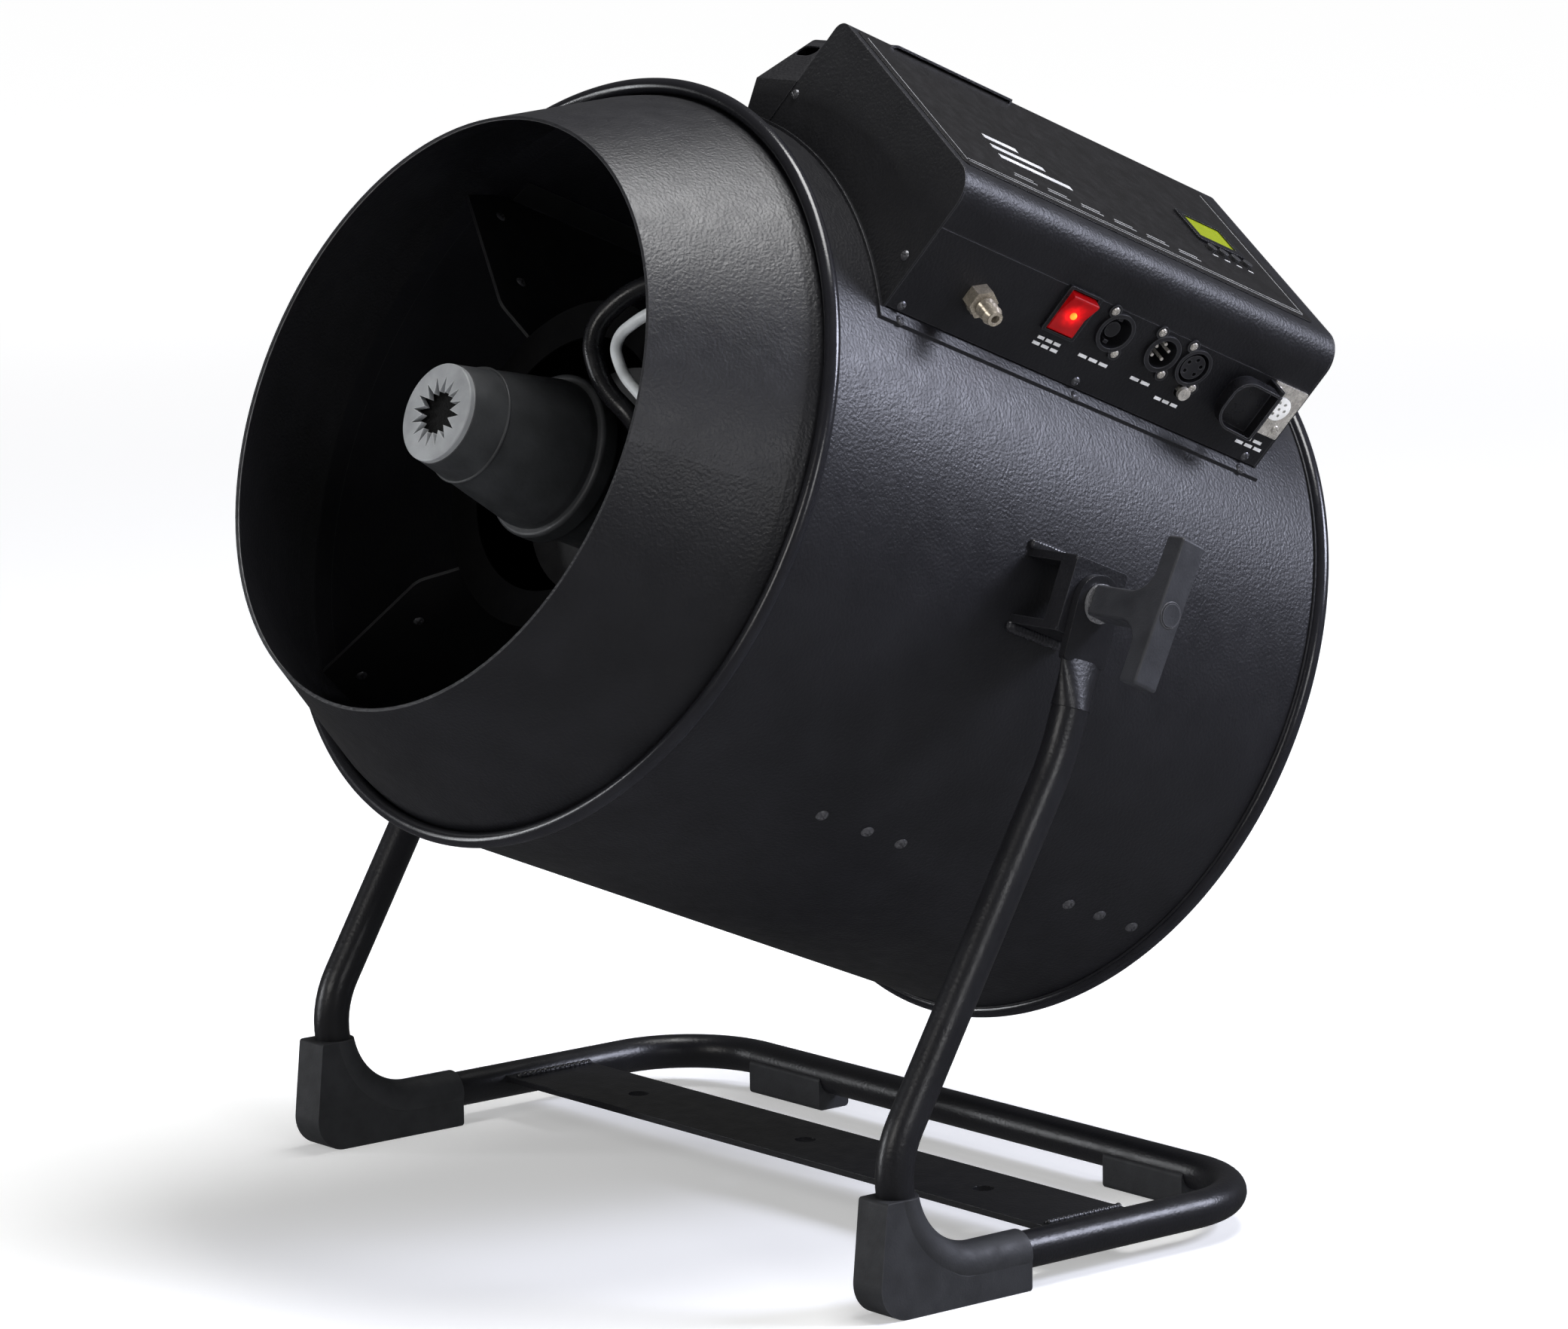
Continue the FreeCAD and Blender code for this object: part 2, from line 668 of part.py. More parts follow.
def box_rear_plate():
    plate = end_plate(BOX_BACK_Y - BOX_WALL)
    slots = [block(-40, 70, BOX_BACK_Y - 5, BOX_BACK_Y + 5, z, z + 3) for z in range(250, 284, 8)]
    return cut_all(plate, slots)


ROCKER_Y = -33.0
POWER_Y = 4.0
DATA_IN_Y = 44.3
DATA_OUT_Y = 71.2
REMOTE_Y = 147.8
REMOTE_Z = SOCKET_ROW - 1.5
FLUID_Y = -98.4
FLUID_Z = 232.8


def connector_panel():
    plate = block(BOX_RIGHT - BOX_WALL, BOX_RIGHT, BOX_FRONT_Y + BOX_WALL, BOX_BACK_Y - BOX_WALL,
                  PANEL_FOOT, PANEL_TOP)
    x0 = BOX_RIGHT - 10
    x1 = BOX_RIGHT + 10
    tools = [rod_x(x0, x1, y, SOCKET_ROW, 12.1) for y in (POWER_Y, DATA_IN_Y, DATA_OUT_Y)]
    tools.append(rod_x(x0, x1, REMOTE_Y, REMOTE_Z, REMOTE_HOLE_R))
    tools.append(rod_x(x0, x1, FLUID_Y, FLUID_Z, 6.1))
    tools.append(block(x0, x1, ROCKER_Y - 11.5, ROCKER_Y + 11.5, SOCKET_ROW - 15, SOCKET_ROW + 15))
    tools.append(rod_x(x0, x1, DATA_OUT_Y + LATCH_DY, SOCKET_ROW + LATCH_DZ, 4.8))
    return above_saddle(cut_all(plate, tools))


RAMP_FOOT_Z = 251.5
RAMP_TOP_Z = 292.0
RAMP_TOP_Y = -119.0
COVER_BACK_Y = -20.0
HOSE_COVER_X0 = 27.0
HOSE_COVER_X1 = 100.0
RAMP_HOLE = (40.0, -133.2, 277.0)


def hose_cover_block(inset):
    """Solid of the hose cover in the drum frame: upright front foot, ramp, rounded brow, flat top."""
    outline = [
        (BOX_FRONT_Y - 0.5 + inset, 200, 0), (BOX_FRONT_Y - 0.5 + inset, RAMP_FOOT_Z - inset * 0.3, 0),
        (RAMP_TOP_Y + inset * 0.3, RAMP_TOP_Z - inset, 8.0 + inset),
        (COVER_BACK_Y - inset, RAMP_TOP_Z - inset, 0),
        (COVER_BACK_Y - inset, 200, 0),
    ]
    return slab_x(outline, HOSE_COVER_X0 + inset, HOSE_COVER_X1)


def hose_cover():
    shell = hose_cover_block(0).cut(hose_cover_block(BOX_WALL))
    box_solid = turned(slab_y(box_outline(0), -300, 300), BOX_TURN)
    film_notch = turned(block(*LABEL_EDGES, BOX_TOP - 1, BOX_TOP + LABEL_THICK), BOX_TURN)
    rise = math.atan2(RAMP_TOP_Z - RAMP_FOOT_Z, RAMP_TOP_Y - BOX_FRONT_Y)
    normal = Vector(0, -math.sin(rise), math.cos(rise))
    hole_centre = Vector(*RAMP_HOLE)
    holes = [rod(hole_centre + X * dx - normal * 12, hole_centre + X * dx + normal * 12, 5.5)
             for dx in (-3.0, 0.0, 3.0)]
    holes.append(slab_hole(hole_centre, normal))
    return cut_all(shell, [box_solid, film_notch, rod_y(-300, 300, SADDLE_R)] + holes)


def slab_hole(centre, normal):
    along = normal.cross(X)
    corner = centre - X * 3.0 - along * 5.5 - normal * 12
    face = Part.Face(Part.makePolygon([corner, corner + X * 6.0, corner + X * 6.0 + along * 11,
                                       corner + along * 11, corner]))
    return face.extrude(normal * 24)


LABEL_EDGES = (-60.0, 88.0, -147.0, 150.0)
LABEL_THICK = 0.6
DISPLAY = (-2.0, 32.0, 86.0, 127.0)
DISPLAY_GLASS = (2.5, 26.5, 90.5, 122.5)
BUTTON_X = 40.0
BUTTON_YS = tuple(91.0 + 10.5 * i for i in range(4))
BUTTON_R = 3.4


def top_label():
    x0, x1, y0, y1 = LABEL_EDGES
    sheet = slab_z(rectangle(x0, x1, y0, y1, 4.0), BOX_TOP, BOX_TOP + LABEL_THICK)
    tools = [block(DISPLAY[0], DISPLAY[1], DISPLAY[2], DISPLAY[3], BOX_TOP - 1, BOX_TOP + 2)]
    tools += [rod_z(BOX_TOP - 1, BOX_TOP + 2, BUTTON_X, y, BUTTON_R + CLEAR) for y in BUTTON_YS]
    return cut_all(sheet, tools)


def display_bezel():
    frame = slab_z(rectangle(*DISPLAY, 1.5), BOX_TOP, BOX_TOP + 2.2)
    return frame.cut(block(*DISPLAY_GLASS, BOX_TOP - 1, BOX_TOP + 4))


def display_glass():
    return block(*DISPLAY_GLASS, BOX_TOP, BOX_TOP + 1.2)


def menu_button(y):
    return rod_z(BOX_TOP + 0.3, BOX_TOP + 0.3 + 2.6, BUTTON_X, y, BUTTON_R)


def button_wells():
    """Through holes for the buttons' travel."""
    return [rod_z(BOX_TOP - 3, BOX_TOP + 3, BUTTON_X, y, BUTTON_R + CLEAR) for y in BUTTON_YS]


ROCKER_HALF_Y = 10.2
ROCKER_HALF_Z = 13.4
ROCKER_ROLL = 9.0
ROCKER_PIN_R = 1.5
ROCKER_PIN_END = 11.1        # the pins reach this far from the middle, into the frame's walls


def rocker_pin(radius, half_long):
    return rod_y(ROCKER_Y - half_long, ROCKER_Y + half_long, radius, BOX_RIGHT, SOCKET_ROW)


def rocker_frame():
    x1 = BOX_RIGHT + 2.6
    rim = slab_x(rectangle(ROCKER_Y - 13.3, ROCKER_Y + 13.3, SOCKET_ROW - 15.9, SOCKET_ROW + 15.9, 1.5),
                 BOX_RIGHT, x1)
    barrel = block(BOX_RIGHT - 24, BOX_RIGHT, ROCKER_Y - 11.4, ROCKER_Y + 11.4, SOCKET_ROW - 14.9,
                   SOCKET_ROW + 14.9)
    well = block(BOX_RIGHT - 9, x1 + 1, ROCKER_Y - ROCKER_HALF_Y - CLEAR, ROCKER_Y + ROCKER_HALF_Y + CLEAR,
                 SOCKET_ROW - ROCKER_HALF_Z - 0.8, SOCKET_ROW + ROCKER_HALF_Z + 0.8)
    return cut_all(fused([rim, barrel]), [well, rocker_pin(ROCKER_PIN_R + FIT, ROCKER_PIN_END + FIT)])


def power_rocker():
    """Two-sloped paddle, rolled so that its upper end is pressed in."""
    y0 = ROCKER_Y - ROCKER_HALF_Y
    y1 = ROCKER_Y + ROCKER_HALF_Y
    base = BOX_RIGHT - 2.0
    outline = [
        (base, -ROCKER_HALF_Z + 0.6, 0.6), (base + 7.6, -ROCKER_HALF_Z + 0.4, 1.2), (base + 5.4, 0, 0),
        (base + 7.6, ROCKER_HALF_Z - 0.4, 1.2), (base, ROCKER_HALF_Z - 0.6, 0.6), (base - 3.0, 0, 4.0),
    ]
    paddle = slab_y([(a, b + SOCKET_ROW, r) for a, b, r in outline], y0, y1)
    paddle.rotate(Vector(BOX_RIGHT, 0, SOCKET_ROW), Y, ROCKER_ROLL)
    return fused([paddle, rocker_pin(ROCKER_PIN_R, ROCKER_PIN_END)])


SOCKET_FACE_X = BOX_RIGHT + 2.4
SOCKET_FLOOR_X = SOCKET_FACE_X - 16
SOCKET_BARREL_R = 11.9
EAR_R = 4.2
EARS = ((-9.5, 12.0), (9.5, -12.0))
POWER_BORE_R = 10.4
DATA_RING_R = 12.4
PIN_ARC = 264.0              # five pins of a data plug share this much of a circle
PIN_COUNT = 5
LATCH_DY = 4.6
LATCH_DZ = -16.5


def round_socket(y, face_r, bore_r):
    """Panel connector shell: flange ring, rear barrel and front bore, with two corner ears."""
    ring = rod_x(BOX_RIGHT, SOCKET_FACE_X, y, SOCKET_ROW, face_r)
    barrel = rod_x(BOX_RIGHT - 22, BOX_RIGHT, y, SOCKET_ROW, SOCKET_BARREL_R)
    ears = [rod_x(BOX_RIGHT, BOX_RIGHT + 1.6, y + dy, SOCKET_ROW + dz, EAR_R) for dy, dz in EARS]
    whole = fused([ring, barrel] + ears)
    return whole.cut(rod_x(SOCKET_FLOOR_X, SOCKET_FACE_X + 1, y, SOCKET_ROW, bore_r))


def pin_ring(y, z, radius, count, arc, start):
    places = []
    for i in range(count):
        angle = math.radians(start + arc * i / (count - 1))
        places.append((y + radius * math.sin(angle), z + radius * math.cos(angle)))
    return places


def data_pin_places(y, radius):
    return pin_ring(y, SOCKET_ROW, radius, PIN_COUNT, PIN_ARC, -PIN_ARC / 2)


def power_inlet():
    return round_socket(POWER_Y, 13.0, POWER_BORE_R)


def power_inlet_core():
    """Contact core and the two keys that stand in the power inlet's bore."""
    core = rod_x(SOCKET_FLOOR_X, BOX_RIGHT - 2, POWER_Y, SOCKET_ROW, 5.2)
    bore = rod_x(SOCKET_FLOOR_X, BOX_RIGHT, POWER_Y, SOCKET_ROW, POWER_BORE_R)
    keys = [block(SOCKET_FLOOR_X, BOX_RIGHT - 1, POWER_Y - 1.6, POWER_Y + 1.6,
                  SOCKET_ROW + z0, SOCKET_ROW + z1)
            for z0, z1 in ((-9.2, -6.8), (6.8, 11.4))]
    return Part.makeCompound([core] + [key.common(bore) for key in keys])


def data_in_socket():
    return round_socket(DATA_IN_Y, DATA_RING_R, 9.3)


def data_in_pins():
    return Part.makeCompound([rod_x(SOCKET_FLOOR_X, BOX_RIGHT - 0.5, y, z, 1.1)
                              for y, z in data_pin_places(DATA_IN_Y, 5.6)])


def data_out_socket():
    """Shell of the female socket, with a well for its release latch."""
    latch_well = rod_x(BOX_RIGHT - 6, BOX_RIGHT + 6, DATA_OUT_Y + LATCH_DY, SOCKET_ROW + LATCH_DZ, 4.6)
    return round_socket(DATA_OUT_Y, DATA_RING_R, 10.2).cut(latch_well)


def data_out_insert():
    """Core of the female socket, with its five contact holes."""
    core = rod_x(SOCKET_FLOOR_X, BOX_RIGHT + 1.4, DATA_OUT_Y, SOCKET_ROW, 8.2)
    holes = [rod_x(BOX_RIGHT - 8, BOX_RIGHT + 3, y, z, 1.3) for y, z in data_pin_places(DATA_OUT_Y, 5.4)]
    return cut_all(core, holes)


def data_out_latch():
    """Sprung release tab below the female socket."""
    y = DATA_OUT_Y + LATCH_DY
    z = SOCKET_ROW + LATCH_DZ
    pad = rod_x(BOX_RIGHT + 2.0, BOX_RIGHT + 4.6, y, z, 4.2)
    stem = rod_x(BOX_RIGHT - 4, BOX_RIGHT + 2.0, y, z, 2.0)
    return fused([pad, stem])


REMOTE_HALF_Y = 14.0
REMOTE_HALF_Z = 20.5
REMOTE_SOCKET_R = 8.0
REMOTE_HOLE_R = 8.2
REMOTE_SCREWS = ((-8.5, 9.0), (8.5, -14.5))      # (y, z) from the row's height
CONTACT_R = 1.0


def remote_plate():
    plate = slab_x(rectangle(REMOTE_Y - REMOTE_HALF_Y, REMOTE_Y + REMOTE_HALF_Y, SOCKET_ROW - REMOTE_HALF_Z,
                             SOCKET_ROW + REMOTE_HALF_Z - 6.4, 1.0), BOX_RIGHT, BOX_RIGHT + 1.5)
    tools = [rod_x(BOX_RIGHT - 1, BOX_RIGHT + 3, REMOTE_Y, REMOTE_Z, REMOTE_HOLE_R)]
    tools += [rod_x(BOX_RIGHT - 1, BOX_RIGHT + 3, REMOTE_Y + dy, SOCKET_ROW + dz, 2.0)
              for dy, dz in REMOTE_SCREWS]
    return cut_all(plate, tools)


def remote_socket():
    """White insulator: six contacts round a seventh."""
    body = rod_x(BOX_RIGHT - 16, BOX_RIGHT + 2.6, REMOTE_Y, REMOTE_Z, REMOTE_SOCKET_R)
    places = pin_ring(REMOTE_Y, REMOTE_Z, 4.6, 6, 300, -150) + [(REMOTE_Y, REMOTE_Z)]
    return cut_all(body, [rod_x(BOX_RIGHT - 4, BOX_RIGHT + 4, y, z, CONTACT_R) for y, z in places])


LID_PIN_Y = REMOTE_Y - REMOTE_HALF_Y - 2.2
LID_PIN_X = BOX_RIGHT + 12.5
LID_LONG = 33.0
LID_HALF_TALL = 19.0
LID_DEEP = 10.0
LID_OPEN = 170.0
LID_CENTRE_Z = SOCKET_ROW - 3.0


def lid_hinge():
    """Hinge base on the panel: two cheeks and the pin."""
    y0 = LID_PIN_Y - 1.8
    y1 = LID_PIN_Y + 1.8
    parts = [block(BOX_RIGHT, BOX_RIGHT + 1.4, y0, y1, LID_CENTRE_Z - 17, LID_CENTRE_Z + 16)]
    for z0 in (LID_CENTRE_Z - 17, LID_CENTRE_Z + 13):
        parts.append(block(BOX_RIGHT, LID_PIN_X, y0, y1, z0, z0 + 3))
        parts.append(rod_z(z0, z0 + 3, LID_PIN_X, LID_PIN_Y, 1.8))
    parts.append(rod_z(LID_CENTRE_Z - 17, LID_CENTRE_Z + 16, LID_PIN_X, LID_PIN_Y, 1.0))
    return fused(parts)


def socket_lid():
    """Sprung cup-shaped lid, drawn shut over the socket and then swung open."""
    z0 = LID_CENTRE_Z - 13.6
    z1 = LID_CENTRE_Z + 12.6
    low = LID_CENTRE_Z - LID_HALF_TALL
    high = LID_CENTRE_Z + LID_HALF_TALL - 4.5
    y0 = LID_PIN_Y + 3.0
    y1 = LID_PIN_Y + LID_LONG
    face_x = LID_PIN_X + 2.4
    outer = slab_x([(y0, low, 2.0), (y1, low, 12.0), (y1, high, 12.0), (y0, high, 2.0)],
                   face_x - LID_DEEP, face_x)
    inner = slab_x([(y0 + 1.6, low + 1.6, 1.0), (y1 - 1.6, low + 1.6, 10.4), (y1 - 1.6, high - 1.6, 10.4),
                    (y0 + 1.6, high - 1.6, 1.0)], face_x - LID_DEEP - 1, face_x - 1.6)
    cup = outer.cut(inner)
    knuckle = rod_z(z0, z1, LID_PIN_X, LID_PIN_Y, 2.3)
    tongue = block(LID_PIN_X - 0.6, face_x - 0.1, LID_PIN_Y, y0 + 1, z0, z1)
    lid = fused([cup, knuckle, tongue]).cut(rod_z(z0 - 5, z1 + 5, LID_PIN_X, LID_PIN_Y, 1.0 + FIT))
    lid.rotate(Vector(LID_PIN_X, LID_PIN_Y, 0), Z, LID_OPEN)
    return lid


def fluid_inlet():
    """Hexagon union with a hose barb."""
    centre = Vector(BOX_RIGHT, FLUID_Y, FLUID_Z)
    corners = []
    for i in range(7):
        angle = math.radians(60 * i)
        corners.append(centre + Vector(0, 9.5 * math.sin(angle), 9.5 * math.cos(angle)))
    nut = Part.Face(Part.makePolygon(corners)).extrude(Vector(9, 0, 0))
    spigot = rod_x(BOX_RIGHT - 14, BOX_RIGHT + 24, FLUID_Y, FLUID_Z, 4.6)
    barbs = [Part.makeCone(6.2, 4.6, 3.4, centre + X * (11 + 4.4 * i), X) for i in range(3)]
    bore = rod_x(BOX_RIGHT + 6, BOX_RIGHT + 30, FLUID_Y, FLUID_Z, 2.6)
    thread = rod_x(BOX_RIGHT - 14, BOX_RIGHT, FLUID_Y, FLUID_Z, 6.0)
    return fused([nut, spigot, thread] + barbs).cut(bore)


SCREW_HEAD_R = 3.2
SCREW_HEAD_H = 2.0


def dome_head(centre, outward, radius=SCREW_HEAD_R, height=SCREW_HEAD_H):
    """Button head: a low dome standing on a surface."""
    ball_r = (radius * radius + height * height) / (2 * height)
    ball = Part.makeSphere(ball_r, centre + outward * (height - ball_r))
    slice_solid = Part.makeCylinder(radius + 1, height + 1, centre, outward)
    return ball.common(slice_solid)


def on_drum(angle, y, radius):
    a = math.radians(angle)
    return Vector(radius * math.sin(a), y, radius * math.cos(a))


DRUM_SCREW_YS = (-61.4, -24.5, 3.1, 145.8, 172.7, 201.0)


def drum_screws():
    heads = []
    for angle in PLATE_ANGLES:
        if angle == 45:
            continue
        for y in DRUM_SCREW_YS:
            spot = on_drum(angle - 1.4, y, DRUM_R)
            outward = on_drum(angle - 1.4, 0, 1.0)
            heads.append(dome_head(spot, outward, 3.4, 1.9))
    return Part.makeCompound(heads)


def box_screws():
    heads = [dome_head(Vector(x, BOX_FRONT_Y, z), Y * -1) for x, z in ((BOX_LEFT + 5, 243.5), (98.0, 234.6))]
    heads += [dome_head(Vector(x, BOX_BACK_Y, z), Y) for x, z in ((BOX_LEFT + 5, 243.5), (98.0, 234.6))]
    heads += [dome_head(Vector(BOX_RIGHT, y, PANEL_FOOT + 9), X) for y in (-142.0, 1.5, 152.0)]
    for y in (-139.7, 5.0, 150.5):
        spot = on_drum(28.4, y, SADDLE_R)
        heads.append(dome_head(spot, on_drum(28.4, 0, 1.0), 2.8, 2.0))
    return Part.makeCompound(heads)


def power_supply():
    return above_saddle(block(-50, 40, -20, 130, 215, 272))


PUMP_HEAD_X = 25.0
PUMP_Y = -95.0
PUMP_HEAD_Z = 249.0


def fluid_pump():
    body = block(PUMP_HEAD_X - 70, PUMP_HEAD_X, PUMP_Y - 35, PUMP_Y + 35, 215, 262)
    head = rod_x(PUMP_HEAD_X, PUMP_HEAD_X + 25, PUMP_Y, PUMP_HEAD_Z, 16)
    return above_saddle(fused([body, head]))


def control_board():
    board = block(-40, 70, 60, 140, 282, 283.6)
    posts = [rod_z(283.6, BOX_TOP - BOX_WALL, x, y, 3) for x in (-36, 66) for y in (64, 136)]
    return fused([board] + posts)


# ---- T-handles ----------------------------------------------------------------------------------
HANDLE_LEAN = 26.3
HANDLE_HALF_LONG = 44.2
HANDLE_HALF_WIDE = 9.2
HANDLE_BAR_THICK = 14.0
HANDLE_STEM_HALF = 9.2
HANDLE_FOOT_X = STAND_HALF + FLAT_END_THICK / 2 + 2.6


def t_handle():
    """Moulded T-shaped clamp handle with flared stem and a round plug in its face."""
    bar_x = KNOB_FACE_X - HANDLE_BAR_THICK
    half = HANDLE_HALF_LONG
    stem = HANDLE_STEM_HALF
    outline = [
        (HANDLE_FOOT_X, -stem, 1.0), (bar_x, -stem, 15.0), (bar_x, -half, 2.5), (KNOB_FACE_X, -half, 2.0),
        (KNOB_FACE_X, half, 2.0), (bar_x, half, 2.5), (bar_x, stem, 15.0), (HANDLE_FOOT_X, stem, 1.0),
    ]
    body = slab_y(outline, -HANDLE_HALF_WIDE, HANDLE_HALF_WIDE)
    stem_edges = [e for e in body.Edges if abs(e.BoundBox.YMax - e.BoundBox.YMin) < 0.01]
    body = body.makeFillet(1.6, stem_edges)
    plug = rod_x(KNOB_FACE_X, KNOB_FACE_X + 1.0, 0, 0, 6.8)
    body = body.cut(rod_x(HANDLE_FOOT_X - 1, KNOB_FACE_X - 8, 0, 0, STUD_R))
    handle = Part.makeCompound([fused([body, plug])])
    handle.rotate(ORIGIN, X, -HANDLE_LEAN)
    return handle


def handle_stud():
    """Threaded stud with its collar washer."""
    pin = rod_x(BRACKET_WEB_X + 1, KNOB_FACE_X - 8, 0, 0, STUD_R)
    washer = rod_x(STAND_HALF + FLAT_END_THICK / 2 + CLEAR, HANDLE_FOOT_X, 0, 0, 11.5)
    return fused([pin, washer])


# ---- build --------------------------------------------------------------------------------------
def build():
    parts = {
        "stand_tube": in_stand(stand_tube()),
        "base_bar": in_stand(base_bar()),
        "front_foot_right": in_stand(front_foot()),
        "front_foot_left": in_stand(mirrored_x(front_foot())),
        "rear_foot_pads": in_stand(rear_foot_pads()),
        "drum_shell": in_drum(drum_shell()),
        "front_hood": in_drum(front_hood()),
        "pivot_bracket_right": in_drum(pivot_bracket()),
        "pivot_bracket_left": in_drum(mirrored_x(pivot_bracket())),
        "support_plates": in_drum(support_plates()),
        "inner_duct": in_drum(inner_duct()),
        "nozzle_ring": in_drum(nozzle_ring()),
        "nozzle_cone": in_drum(nozzle_cone()),
        "nozzle_base": in_drum(nozzle_base()),
        "foam_mesh": in_drum(foam_mesh()),
        "nozzle_blower": in_drum(nozzle_blower()),
        "blower_flange": in_drum(blower_flange()),
        "fluid_hose": in_drum(fluid_hose()),
        "air_hose": in_drum(air_hose()),
        "fan_motor": in_drum(fan_motor()),
        "motor_plates": in_drum(motor_plates()),
        "fan_shaft": in_drum(fan_shaft()),
        "fan_impeller": in_drum(fan_impeller()),
        "rear_guard": in_drum(rear_guard()),
        "drum_screws": in_drum(drum_screws()),
        "box_base": in_box(box_base()),
        "box_cover": in_box(cut_all(box_cover(), button_wells())),
        "box_front_plate": in_box(box_front_plate()),
        "box_rear_plate": in_box(box_rear_plate()),
        "connector_panel": in_box(connector_panel()),
        "hose_cover": in_drum(hose_cover()),
        "top_label": in_box(top_label()),
        "display_bezel": in_box(display_bezel()),
        "display_glass": in_box(display_glass()),
        "rocker_frame": in_box(rocker_frame()),
        "power_rocker": in_box(power_rocker()),
        "power_inlet": in_box(power_inlet()),
        "power_inlet_core": in_box(power_inlet_core()),
        "data_in_socket": in_box(data_in_socket()),
        "data_in_pins": in_box(data_in_pins()),
        "data_out_socket": in_box(data_out_socket()),
        "data_out_insert": in_box(data_out_insert()),
        "data_out_latch": in_box(data_out_latch()),
        "remote_plate": in_box(remote_plate()),
        "remote_socket": in_box(remote_socket()),
        "lid_hinge": in_box(lid_hinge()),
        "socket_lid": in_box(socket_lid()),
        "fluid_inlet": in_box(fluid_inlet()),
        "box_screws": in_box(box_screws()),
        "power_supply": in_box(power_supply()),
        "fluid_pump": in_box(fluid_pump()),
        "control_board": in_box(control_board()),
        "t_handle_right": in_stand(t_handle()),
        "t_handle_left": in_stand(mirrored_x(t_handle())),
        "handle_stud_right": in_stand(handle_stud()),
        "handle_stud_left": in_stand(mirrored_x(handle_stud())),
    }
    for i, y in enumerate(BUTTON_YS):
        parts["menu_button_%d" % (i + 1)] = in_box(menu_button(y))
    return parts


os.makedirs("parts", exist_ok=True)
for name, shape in build().items():
    shape.exportStep("parts/%s.step" % name)
    solids = len(shape.Solids)
    print("%-22s valid %s solids %d volume %.1f cm3" % (name, shape.isValid(), solids, shape.Volume / 1000))
print("tilt axis", world_shift())
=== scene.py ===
import json
import math

import bmesh
import bpy
from mathutils import Matrix, Vector


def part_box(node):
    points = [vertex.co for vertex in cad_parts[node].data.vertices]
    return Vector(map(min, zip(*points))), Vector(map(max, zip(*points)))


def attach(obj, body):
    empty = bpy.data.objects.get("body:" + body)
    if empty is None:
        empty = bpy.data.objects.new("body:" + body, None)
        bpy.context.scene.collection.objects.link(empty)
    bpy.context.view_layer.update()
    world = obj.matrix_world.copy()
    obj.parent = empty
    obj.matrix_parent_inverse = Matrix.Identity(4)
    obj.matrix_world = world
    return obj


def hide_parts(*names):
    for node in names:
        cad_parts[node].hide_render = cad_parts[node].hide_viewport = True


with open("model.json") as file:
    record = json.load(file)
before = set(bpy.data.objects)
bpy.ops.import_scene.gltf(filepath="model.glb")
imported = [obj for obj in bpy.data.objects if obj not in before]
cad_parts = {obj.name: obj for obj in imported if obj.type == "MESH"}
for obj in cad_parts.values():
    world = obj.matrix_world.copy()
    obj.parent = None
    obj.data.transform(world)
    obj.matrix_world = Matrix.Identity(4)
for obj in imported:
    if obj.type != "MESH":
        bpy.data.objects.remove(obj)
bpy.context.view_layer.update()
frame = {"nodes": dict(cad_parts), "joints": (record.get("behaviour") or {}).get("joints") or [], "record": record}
NODES = frame["nodes"]
JOINTS = {joint["name"]: joint for joint in frame["joints"]}

# ---- frames of the drum and of the control box, from the joints ---------------------------------
PIVOT = Vector(JOINTS["drum_tilt"]["pos_m"])
ACROSS = Vector((1, 0, 0))
BACK = Vector(JOINTS["impeller_spin"]["axis"]).normalized()
DRUM_UP = ACROSS.cross(BACK).normalized()
BOX_UP = Vector(JOINTS["lid_swing"]["axis"]).normalized()
BOX_OUT = -Vector(JOINTS["latch_press"]["axis"]).normalized()

DRUM_R = 0.2295              # outside of the drum sheet
BEAD_R = 0.0045              # rolled bead at each end of the drum
BEAD_CENTRE_R = 0.2305
BEAD_SKIN = 0.00012
MOUTH_R = 0.1793             # outside of the hood at its mouth
EARS = ((-0.0095, 0.0120), (0.0095, -0.0120))     # screw ears of a panel connector, from its middle
PLATE_EARS = ((-0.0085, 0.0090), (0.0085, -0.0145))    # screws of the remote plate, from its middle
BRACKET_HALF_H = 0.0225      # half height of a pivot bracket, where its welds run
HOSE_ROOF_Z = 0.284          # above this the hose cover's roof is lowered by HOSE_ROOF_DROP
HOSE_ROOF_DROP = 0.004
PRINT_RISE = 0.00014         # how far printed bars stand above the surface
LAMP_REACH = 0.011           # how far the rocker's lamp brightens its face

# ---- studio and camera --------------------------------------------------------------------------
BACKDROP = 1.0               # how bright the studio looks behind the machine
ROOM_LIGHT = 0.07            # how much it lights and reflects in the machine
FLOOR_NEAR = (0.5, 0.36)     # distance from the machine in metres, and the floor's own glow there
FLOOR_FAR = (5.5, 0.92)

AZIMUTH = math.radians(50.40)
ELEVATION = math.radians(9.49)
ROLL = math.radians(-0.70)
DISTANCE = 3.824             # from the tilt axis to the camera, in metres
ASIDE = 0.00486              # how far the aim is beside and below the tilt axis
BELOW = 0.0675
LENS = 145.1                 # focal length for a sensor 36 mm wide
SENSOR_WIDTH = 36


def drum_point(x, y, z):
    return PIVOT + ACROSS * x + BACK * y + DRUM_UP * z


def box_point(x, y, z):
    return PIVOT + BOX_OUT * x + BACK * y + BOX_UP * z


def extent(node, direction):
    """Lowest and highest reach of a CAD node from the pivot along a direction."""
    reach = [(v.co - PIVOT).dot(direction) for v in NODES[node].data.vertices]
    return min(reach), max(reach)


def middle_of(node):
    low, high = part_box(node)
    return (low + high) / 2


